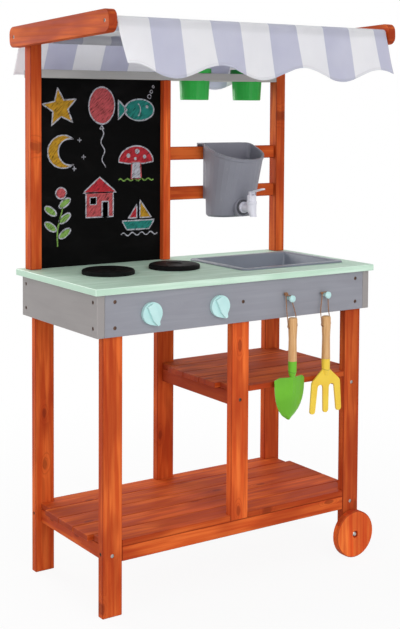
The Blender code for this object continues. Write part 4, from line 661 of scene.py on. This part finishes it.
def cloth_point(x, station):
    """A point of the cloth; the whole part of the station names a stretch, front to back."""
    local = x - ORIGIN.x
    wave = 2 * math.pi * (local - SCALLOP_CREST_X) / SCALLOP_PERIOD
    scallop = SCALLOP_HEIGHT * math.cos(wave)
    stretch, part = divmod(station, 1)
    front, back, bend = cloth_profile()
    tilt = math.atan2(front.y - back.y, back.x - front.x)
    front_angle = math.pi - FRONT_FLARE
    roof_angle = math.pi / 2 - tilt
    shelf_high = box("top_shelf")[1]

    def round_rod(centre, angle):
        return centre + bend * Vector((math.cos(angle), math.sin(angle)))

    ripple = noise.noise(Vector((local * 16, station * 0.8, 3.7)))
    small = noise.noise(Vector((local * 45, station * 1.5, 9.1)))
    if stretch == 0:
        top = round_rod(front, front_angle)
        fall = (top.y - (front.y - FRONT_DROP + scallop)) * (1 - part)
        point = top - Vector((math.tan(FRONT_FLARE) * fall, fall))
        free = (1 - part) ** 1.4
        point.x += (FRONT_FOLD * (ripple - math.cos(wave)) + 0.0022 * small) * free
        corner = max(0.0, (CORNER_START - local) / CORNER_WIDTH)
        point.x -= CORNER_REACH * min(corner, 1.0) ** 1.5 * free
    elif stretch == 1:
        point = round_rod(front, front_angle + (roof_angle - front_angle) * part)
    elif stretch == 2:
        point = round_rod(front, roof_angle).lerp(round_rod(back, roof_angle), part)
        slack = math.sin(math.pi * part)
        point.y -= (ROOF_SAG + 0.0016 * ripple + 0.0008 * small) * slack ** 0.8
    elif stretch == 3:
        point = round_rod(back, roof_angle + (BACK_ANGLE - roof_angle) * part)
    else:
        top = round_rod(back, BACK_ANGLE)
        knee_fall = top.y - shelf_high.z
        knee = top + Vector((math.tan(BACK_ANGLE) * knee_fall, -knee_fall))
        if stretch == 4:
            point = top.lerp(knee, part)
        else:
            fall = (knee.y - (back.y - BACK_DROP + scallop)) * part
            point = knee + Vector((math.tan(BACK_HEM_FLARE) * fall, -fall))
            point.x += (0.0015 * (1 + math.cos(wave)) + 0.0016 * abs(ripple)) * part ** 1.5
    return Vector((x, point.x, point.y))


def cloth_finish():
    """Woven polyester with printed stripes and a stitched hem."""
    g = Graph("awning_cloth_finish", specular=0.15)
    g.set(g.shader, "Sheen Weight", 0.15)
    g.set(g.shader, "Subsurface Weight", 0.9)
    g.set(g.shader, "Subsurface Radius", (1.0, 1.0, 1.0))
    g.set(g.shader, "Subsurface Scale", 0.003)
    flat = g.node("UVMap", 0, uv_map="flat")
    u, v, _ = g.axes(flat)
    hem = g.axes(g.node("UVMap", 0, uv_map="hem"))[1]
    place = g.math("DIVIDE", g.math("SUBTRACT", u, STRIPE_START), 2 * STRIPE)
    phase = g.math("FRACT", place)
    rise = g.span(phase, 0.498, 0.502, 0.0, 1.0, smooth=False)
    fall = g.span(phase, 0.996, 1.0, 1.0, 0.0, smooth=False)
    grey = g.math("MULTIPLY", rise, fall)
    slow = g.noise(flat, 9.0, 2.0)
    white = g.mix(g.span(slow, 0.3, 0.7), linear(230, 230, 238), linear(223, 223, 232))
    blue = g.mix(g.span(slow, 0.3, 0.7), linear(188, 189, 207), linear(179, 180, 200))
    colour = g.mix(grey, white, blue)
    warp = g.math("SINE", g.math("MULTIPLY", u, 2 * math.pi / WEAVE))
    weft = g.math("SINE", g.math("MULTIPLY", v, 2 * math.pi / WEAVE))
    weave = g.math("MULTIPLY", warp, weft)
    folded = g.span(hem, 0.0058, 0.0064, 1.0, 0.0)
    in_line = g.math("MULTIPLY", g.span(hem, 0.0046, 0.0049), g.span(hem, 0.0054, 0.0051))
    dashes = g.math("GREATER_THAN", g.math("FRACT", g.math("DIVIDE", u, 0.0030)), 0.3)
    stitches = g.math("MULTIPLY", in_line, dashes)
    colour = g.mix(g.math("MULTIPLY", stitches, 0.35), colour, linear(200, 200, 206))
    colour = g.mix(g.math("MULTIPLY", folded, 0.12), colour, linear(160, 160, 172))
    creases = g.noise(g.stretched((u, v), (26, 11)), 1.0, 3.0, 0.55, 0.8)
    normal = g.bump(weave, 0.10, 0.0001)
    normal = g.bump(creases, 0.35, 0.0022, normal)
    height = g.math("SUBTRACT", folded, g.math("MULTIPLY", stitches, 0.8))
    return g.finish(colour, 0.85, g.bump(height, 0.6, 0.0005, normal))


def add_sleeve(rod, turn, fall_angle, left, right, finish):
    """A strip sewn to the underside of the cloth, which closes the pocket round a rod."""
    front, back, bend = cloth_profile()
    centre = front if turn < 0 else back
    tilt = math.atan2(front.y - back.y, back.x - front.x)
    roof_angle = math.pi / 2 - tilt
    under = CLOTH + 0.0002

    def normal(angle):
        return Vector((math.cos(angle), math.sin(angle)))

    quarter = math.pi / 2 * turn
    start, end = roof_angle + math.radians(55) * turn, fall_angle - math.radians(55) * turn
    end += 2 * math.pi * turn
    profile = [centre + (bend - under) * normal(roof_angle) + normal(roof_angle + quarter) * reach
               for reach in SLEEVE_REACHES]
    profile += [centre + (bend + SLEEVE_GAP) * normal(start + (end - start) * k / SLEEVE_STEPS)
                for k in range(SLEEVE_STEPS + 1)]
    profile += [centre + (bend - under) * normal(fall_angle) + normal(fall_angle - quarter) * reach
                for reach in reversed(SLEEVE_REACHES)]
    form = bmesh.new()
    flat = form.loops.layers.uv.new("flat")
    hem = form.loops.layers.uv.new("hem")
    rows = []
    for i in range(SLEEVE_COLUMNS + 1):
        x = left + (right - left) * i / SLEEVE_COLUMNS
        rows.append([form.verts.new((x, point.x, point.y)) for point in profile])
    for low, high in zip(rows, rows[1:]):
        for j in range(len(profile) - 1):
            form.faces.new((low[j], high[j], high[j + 1], low[j + 1]))
    for face in form.faces:
        for loop in face.loops:
            place = loop.vert.co
            loop[flat].uv = (place.x - ORIGIN.x, place.y + place.z)
            loop[hem].uv = (place.x, 0.02)
    sleeve = piece_from(form, "sleeve_" + rod, finish)
    skin = sleeve.modifiers.new("Cloth", "SOLIDIFY")
    skin.thickness = CLOTH * 0.8
    skin.offset = 0
    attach(sleeve, "frame")
    return sleeve


def valance_angle():
    """Direction from the back rod at which the cloth leaves it, towards the top shelf's corner."""
    _, back, bend = cloth_profile()
    shelf = box("top_shelf")[1]
    across, down = shelf.y - back.x, back.y - shelf.z
    spare = bend - ROD_GAP - CLOTH / 2
    return math.atan2(across, down) - math.asin(spare / math.hypot(across, down))


def add_canopy():
    finish = cloth_finish()
    arm_left, arm_right = box("awning_arm_left")[1].x, box("awning_arm_right")[0].x
    left, right = arm_left + ARM_GAP, arm_right - ARM_GAP
    stations = [s + k / n for s, n in enumerate(CANOPY_ROWS) for k in range(n)]
    stations.append(len(CANOPY_ROWS) - 1e-9)
    grid = []
    for i in range(CANOPY_COLUMNS + 1):
        x = left + (right - left) * i / CANOPY_COLUMNS
        grid.append([cloth_point(x, station) for station in stations])
    form = bmesh.new()
    flat = form.loops.layers.uv.new("flat")
    hem = form.loops.layers.uv.new("hem")
    verts = [[form.verts.new(point) for point in row] for row in grid]
    lengths = []
    for row in grid:
        run = [0.0]
        for a, b in zip(row, row[1:]):
            run.append(run[-1] + (b - a).length)
        lengths.append(run)
    crown = sum(CANOPY_ROWS[:2])
    marks = {}
    for i, row in enumerate(verts):
        middle = lengths[i][crown]
        for j, vert in enumerate(row):
            run = lengths[i][j]
            marks[vert] = (grid[i][0].x - ORIGIN.x, run - middle, min(run, lengths[i][-1] - run))
    for i in range(CANOPY_COLUMNS):
        for j in range(len(stations) - 1):
            form.faces.new((verts[i][j], verts[i + 1][j], verts[i + 1][j + 1], verts[i][j + 1]))
    for face in form.faces:
        for loop in face.loops:
            u, v, edge = marks[loop.vert]
            loop[flat].uv = (u, v)
            loop[hem].uv = (u, edge)
    canopy = piece_from(form, "awning_cloth", finish)
    skin = canopy.modifiers.new("Cloth", "SOLIDIFY")
    skin.thickness = CLOTH
    skin.offset = 0
    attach(canopy, "frame")
    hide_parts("canopy")
    sleeves = [add_sleeve("front", -1, math.pi - FRONT_FLARE, left, right, finish),
               add_sleeve("back", 1, BACK_ANGLE, left, right, finish)]


BACK_ANGLE = valance_angle()
add_canopy()


# Chalk drawing: a child's doodles in a thin layer on the board

CHALKS = {"teal": (45, 142, 132), "coral": (204, 92, 96), "ochre": (204, 154, 44),
          "red": (198, 52, 62), "white": (196, 196, 206), "green": (138, 180, 90)}
CHALK_LAYER = 0.00012
CHALK_STROKE = 0.0030


def chalk_finish(name, rgb):
    """Dry strokes, through which the board shows."""
    g = Graph(name, specular=0.1)
    x, _, z = g.axes(g.coordinates.outputs["Object"])
    slanted = (g.math("ADD", x, z), g.math("SUBTRACT", x, z))
    strokes = g.noise(g.stretched(slanted, (45, 520)), 1.0, 3.0, 0.6)
    specks = g.noise(g.vector(x, z), 1500.0, 1.0)
    cover = g.math("MULTIPLY", g.span(strokes, 0.34, 0.54), g.span(specks, 0.28, 0.46))
    colour = g.mix(cover, linear(24, 24, 25), linear(*rgb))
    return g.finish(colour, g.span(cover, 0.0, 1.0, 0.85, 0.97), g.bump(cover, 0.3, 0.0002))


def oval(x, z, across, tall, turn=0.0, start=0.0, end=360.0, steps=30):
    """Points of a hand-drawn oval, or of an arc of one, against the clock."""
    points = []
    for k in range(steps + (end - start < 360)):
        a = math.radians(start + (end - start) * k / steps)
        wobble = 1 + 0.05 * noise.noise(Vector((x * 70 + math.cos(a), z * 70 + math.sin(a), 1.7)))
        point = Vector((across * math.cos(a), tall * math.sin(a))) * wobble
        point.rotate(Matrix.Rotation(math.radians(turn), 2))
        points.append(Vector((x, z)) + point)
    return points


def wave(x, z, long, tall, turns, turn=0.0, steps=36):
    """Points of a wavy line, from its start."""
    points = []
    for k in range(steps + 1):
        part = k / steps
        point = Vector((long * part, tall * math.sin(2 * math.pi * turns * part)))
        point.rotate(Matrix.Rotation(math.radians(turn), 2))
        points.append(Vector((x, z)) + point)
    return points


def corners(x, z, *offsets):
    """Straight sides between corners, in short steps, from offsets in millimetres."""
    marks = [Vector((x + a / 1000, z + b / 1000)) for a, b in offsets]
    points = []
    for a, b in zip(marks, marks[1:] + marks[:1]):
        for k in range(6):
            points.append(a.lerp(b, k / 6))
    return points


def star_points(x, z, outer, inner, turn):
    offsets = []
    for k in range(10):
        a = math.radians(90 + turn + 36 * k)
        reach = (inner if k % 2 else outer) * 1000
        offsets.append((reach * math.cos(a), reach * math.sin(a)))
    return corners(x, z, *offsets)


class Doodles:
    """Collects fills and lines for each chalk."""

    def __init__(self):
        self.front = box("chalkboard")[0].y
        self.forms = {name: bmesh.new() for name in CHALKS}

    def fill(self, chalk, points):
        form = self.forms[chalk]
        y = self.front - CHALK_LAYER * (1 if chalk != "white" else 2)
        form.faces.new([form.verts.new((p.x + ORIGIN.x, y, p.y)) for p in points])

    def line(self, chalk, points, width=CHALK_STROKE, closed=True):
        form = self.forms[chalk]
        y = self.front - CHALK_LAYER * 3
        count = len(points)
        sides = []
        for i, point in enumerate(points):
            ahead = points[(i + 1) % count] if closed or i < count - 1 else point
            behind = points[i - 1] if closed or i else point
            along = (ahead - behind).normalized()
            across = Vector((-along.y, along.x))
            unevenness = noise.noise(Vector((point.x * 260, point.y * 260, 5)))
            across *= width / 2 * (1 + 0.6 * unevenness)
            sides.append([form.verts.new((p.x + ORIGIN.x, y, p.y))
                          for p in (point - across, point + across)])
        for i in range(count if closed else count - 1):
            low, high = sides[i], sides[(i + 1) % count]
            form.faces.new((low[0], high[0], high[1], low[1]))

    def shape(self, chalk, points, outline="white"):
        self.fill(chalk, points)
        self.line(outline, points)


def draw_sky(draw):
    draw.shape("ochre", star_points(-0.262, 1.000, 0.043, 0.019, 8))
    draw.shape("coral", oval(-0.160, 1.005, 0.032, 0.040))
    draw.line("white", corners(-0.160, 0.962, (0, 0), (-5, -8), (5, -8)), 0.0022)
    draw.line("white", wave(-0.160, 0.954, 0.085, 0.004, 2.2, -86), 0.0022, False)
    crescent = oval(-0.255, 0.905, 0.036, 0.036, 0, 60, 300)
    crescent += reversed(oval(-0.238, 0.905, 0.028, 0.029, 0, 72, 288))
    draw.shape("ochre", crescent)
    for x, z in ((-0.215, 0.930), (-0.205, 0.893), (-0.228, 0.868)):
        draw.line("white", wave(x - 0.005, z, 0.010, 0, 1), 0.0020, False)
        draw.line("white", wave(x, z - 0.005, 0.010, 0, 1, 90), 0.0020, False)


def draw_fish(draw):
    x, z = -0.068, 0.996
    draw.shape("teal", corners(x, z, (-28, 0), (-50, 22), (-50, -22)))
    draw.shape("teal", oval(x + 0.004, z, 0.038, 0.024))
    draw.fill("white", oval(x + 0.024, z + 0.007, 0.0036, 0.0036, steps=12))
    draw.line("white", oval(x - 0.006, z, 0.013, 0.016, 0, -60, 60, 12), 0.0022, False)
    for i, size in enumerate((0.0045, 0.0035, 0.0026)):
        bubble = oval(x + 0.030 + 0.005 * i, z + 0.030 + 0.011 * i, size, size, steps=14)
        draw.line("white", bubble, 0.0016)


def draw_mushroom(draw):
    x, z = -0.072, 0.880
    draw.shape("white", corners(x, z, (-11, 0), (-13, -38), (13, -38), (11, 0)), "coral")
    draw.shape("red", oval(x, z, 0.044, 0.036, 0, 0, 180) + [Vector((x - 0.020, z - 0.004)),
                                                            Vector((x + 0.020, z - 0.004))])
    for a, b, size in ((-20, 14, 5), (3, 23, 6), (22, 11, 4.5), (-2, 7, 3.5)):
        draw.fill("white", oval(x + a / 1000, z + b / 1000, size / 1000, size / 1000, steps=14))
    draw.line("green", wave(x - 0.045, z - 0.040, 0.090, 0.0025, 5),
              closed=False)


def draw_house(draw):
    x, z = -0.165, 0.790
    draw.shape("coral", corners(x, z, (-34, -30), (34, -30), (34, 24), (-34, 24)))
    draw.shape("red", corners(x, z, (-42, 24), (42, 24), (0, 58)))
    draw.fill("ochre", corners(x, z, (-24, -2), (-8, -2), (-8, 14), (-24, 14)))
    draw.line("white", corners(x, z, (-24, -2), (-8, -2), (-8, 14), (-24, 14)), 0.0020)
    draw.shape("teal", corners(x, z, (6, -30), (22, -30), (22, 4), (6, 4)))


def draw_boat(draw):
    x, z = -0.066, 0.742
    draw.shape("teal", corners(x, z, (-30, -14), (28, -14), (42, 6), (-42, 6)))
    draw.line("white", corners(x, z, (0, 6), (0, 58)), 0.0024)
    draw.shape("ochre", corners(x, z, (4, 12), (34, 12), (4, 52)))
    draw.shape("red", corners(x, z, (-4, 12), (-4, 42), (-26, 12)))
    draw.line("white", wave(x - 0.045, z - 0.024, 0.095, 0.0035, 4), 0.0024, False)


def draw_sprig(draw):
    x, z = -0.268, 0.700
    draw.line("green", wave(x, z, 0.105, 0.004, 0.8, 84), 0.0032, False)
    for i, (up, side) in enumerate(((22, 1), (38, -1), (55, 1), (72, -1), (88, 1))):
        draw.shape("green", oval(x + side * 0.017, z + up / 1000 + 0.006, 0.016, 0.0075,
                                 side * 35 if side > 0 else 180 - 35, steps=18))
    draw.shape("coral", oval(x + 0.008, z + 0.116, 0.013, 0.012, steps=18))


def add_chalk():
    draw = Doodles()
    for doodle in (draw_sky, draw_fish, draw_mushroom, draw_house, draw_boat, draw_sprig):
        doodle(draw)
    for name, form in draw.forms.items():
        chalk = piece_from(form, "chalk_" + name, chalk_finish("chalk_" + name, CHALKS[name]),
                           smooth=False)
        layer = chalk.modifiers.new("Layer", "SOLIDIFY")
        layer.thickness = CHALK_LAYER * 0.8
        layer.offset = 0
        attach(chalk, "frame")


add_chalk()


# Wood screws in the boards' pockets

APRON_ROWS = (0.18, 0.79)       # from the apron's top, as shares of its height
SCREW_RADIUS = 0.0040
SCREW_SUNK = 0.0012


def screw_places():
    """(place, outward direction, is it bright) of every screw head."""
    low, high = box("apron_front")
    tall = high.z - low.z
    rows = [high.z - tall * share for share in APRON_ROWS]
    places = []
    leg_x = {column: sum(c.x for c in box("leg_front_" + column)) / 2
             for column in ("left", "centre", "right")}
    leg_y = {row: sum(c.y for c in box(f"leg_{row}_left")) / 2 for row in ("front", "back")}
    for row, side in (("front", -1), ("back", 1)):
        outward = Vector((0, side, 0))
        face = box("apron_" + row)[(side + 1) // 2].y
        for column in ("left", "right"):
            places += [(Vector((leg_x[column], face, z)), outward, False) for z in rows]
        places.append((Vector((leg_x["centre"], face, sum(rows) / 2)), outward, False))
    for column, side in (("left", -1), ("right", 1)):
        face = box("apron_" + column)[(side + 1) // 2].x
        places += [(Vector((face, y, z)), Vector((side, 0, 0)), False)
                   for y in leg_y.values() for z in rows]
    rail_top = box("lower_rail_front")[1].z
    middle_top = box("middle_rail_right")[1].z
    rail = box("lower_rail_front")[1].z - box("lower_rail_front")[0].z
    for row, side in (("front", -1), ("back", 1)):
        face = box(f"leg_{row}_left")[(side + 1) // 2].y
        for column in ("left", "right"):
            out = -1 if column == "left" else 1
            leg = box(f"leg_{row}_{column}")
            places.append((Vector((leg_x[column], face, rail_top - rail / 2)),
                           Vector((0, side, 0)), True))
            places.append((Vector((leg[(out + 1) // 2].x, leg_y[row], rail_top - rail / 3)),
                           Vector((out, 0, 0)), False))
        for column in ("centre", "right"):
            places.append((Vector((leg_x[column], face, middle_top - rail / 2)),
                           Vector((0, side, 0)), column == "right"))
    for column, side in (("left", -1), ("right", 1)):
        face = box("awning_arm_" + column)[(side + 1) // 2].x
        for rod in ("awning_rod_front", "awning_rod_back"):
            places.append((Vector((face, *rod_centre(rod))), Vector((side, 0, 0)), True))
    return places


def add_screw_head(form, place, outward):
    """A countersunk head with a hexagonal socket, sunk in its pocket."""
    sides = 24
    turn = outward.to_track_quat("Z", "Y").to_matrix()

    def ring(radius, height, hexagon=False):
        points = []
        for k in range(sides):
            a = 2 * math.pi * k / sides
            reach = radius
            if hexagon:
                off = (a + math.pi / 6) % (math.pi / 3) - math.pi / 6
                reach = radius * math.cos(math.pi / 6) / math.cos(off)
            offset = Vector((reach * math.cos(a), reach * math.sin(a), height - SCREW_SUNK))
            points.append(form.verts.new(place + turn @ offset))
        return points

    rows = [ring(SCREW_RADIUS, -0.0009), ring(SCREW_RADIUS, -0.0002), ring(0.0036, 0.0003),
            ring(0.0022, 0.0005), ring(0.0020, 0.0004, True), ring(0.0019, -0.0006, True)]
    for low, high in zip(rows, rows[1:]):
        for k in range(sides):
            j = (k + 1) % sides
            form.faces.new((low[k], low[j], high[j], high[k]))
    form.faces.new(rows[-1])
    form.faces.new(list(reversed(rows[0])))


def add_screws():
    dark = metal("screw_bronze", (112, 88, 76), 0.42)
    places = screw_places()
    for name, bright, finish in (("frame_screws_bright", True, STEEL),
                                 ("frame_screws_dark", False, dark)):
        form = bmesh.new()
        for place, outward, is_bright in places:
            if is_bright == bright:
                add_screw_head(form, place, outward)
        screws = piece_from(form, name, finish)
        screws.data.set_sharp_from_angle(angle=math.radians(35))
        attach(screws, "frame")


add_screws()


# Floor, light and world

FLOOR_RADIUS = 8.0
WORLD_STRENGTH = 0.56
LAMPS = (                       # name, place, target, side of the square and power
    ("key_light", (-0.6, -3.4, 2.2), (0, 0, 0.6), 2.2, 34),
    ("front_light", (0.3, -3.6, 0.9), (0, 0, 0.8), 2.0, 22),
    ("left_light", (-3.2, -0.6, 1.9), (0, 0, 0.6), 2.0, 20),
    ("back_light", (-0.8, 3.2, 1.8), (0, 0.2, 1.0), 2.0, 62))


def seen(tree):
    """1 for rays from the camera, in a reflection or through glass, 0 for the light itself."""
    path = add_node(tree, "LightPath").outputs
    first = add_node(tree, "Math", [(0, path["Is Camera Ray"]), (1, path["Is Glossy Ray"])],
                     operation="MAXIMUM")
    return add_node(tree, "Math", [(0, first.outputs[0]), (1, path["Is Transmission Ray"])],
                    operation="MAXIMUM").outputs[0]


def add_floor():
    """A white floor that takes a shadow near the object and glows further out."""
    form = bmesh.new()
    bmesh.ops.create_circle(form, cap_ends=True, radius=FLOOR_RADIUS, segments=64)
    material = bpy.data.materials.new("floor_finish")
    material.use_nodes = True
    tree = material.node_tree
    tree.nodes.clear()
    place = add_node(tree, "TexCoord").outputs["Object"]
    distance = add_node(tree, "VectorMath", [(0, place)], operation="LENGTH").outputs["Value"]
    share = add_node(tree, "MapRange", [(0, distance), (1, 0.5), (2, 1.6), (3, 0.92), (4, 1.0)],
                     interpolation_type="SMOOTHSTEP").outputs[0]
    factor = add_node(tree, "Math", [(0, seen(tree)), (1, share)], operation="MULTIPLY")
    diffuse = add_node(tree, "BsdfDiffuse", [("Color", (0.80, 0.80, 0.80, 1))])
    glow = add_node(tree, "Emission")
    mix = add_node(tree, "MixShader", [(0, factor.outputs[0]), (1, diffuse.outputs[0]),
                                       (2, glow.outputs[0])])
    add_node(tree, "OutputMaterial", [(0, mix.outputs[0])])
    floor = piece_from(form, "floor", material, smooth=False)


def add_world():
    """White to the eye, and dimmer as a light."""
    world = bpy.data.worlds.new("studio")
    bpy.context.scene.world = world
    world.use_nodes = True
    tree = world.node_tree
    back = tree.nodes["Background"]
    back.inputs["Color"].default_value = (1, 1, 1, 1)
    level = add_node(tree, "MapRange", [(0, seen(tree)), (3, WORLD_STRENGTH), (4, 1.0)])
    tree.links.new(level.outputs[0], back.inputs["Strength"])


def add_lamp(name, place, target, size, power):
    data = bpy.data.lights.new(name, "AREA")
    data.shape = "SQUARE"
    data.size = size
    data.energy = power
    lamp = bpy.data.objects.new(name, data)
    lamp.location = place
    aim = Vector(target) - Vector(place)
    lamp.rotation_euler = aim.to_track_quat("-Z", "Y").to_euler()
    bpy.context.scene.collection.objects.link(lamp)


add_floor()
add_world()
for lamp in LAMPS:
    add_lamp(*lamp)
bpy.context.scene.view_settings.view_transform = "Standard"
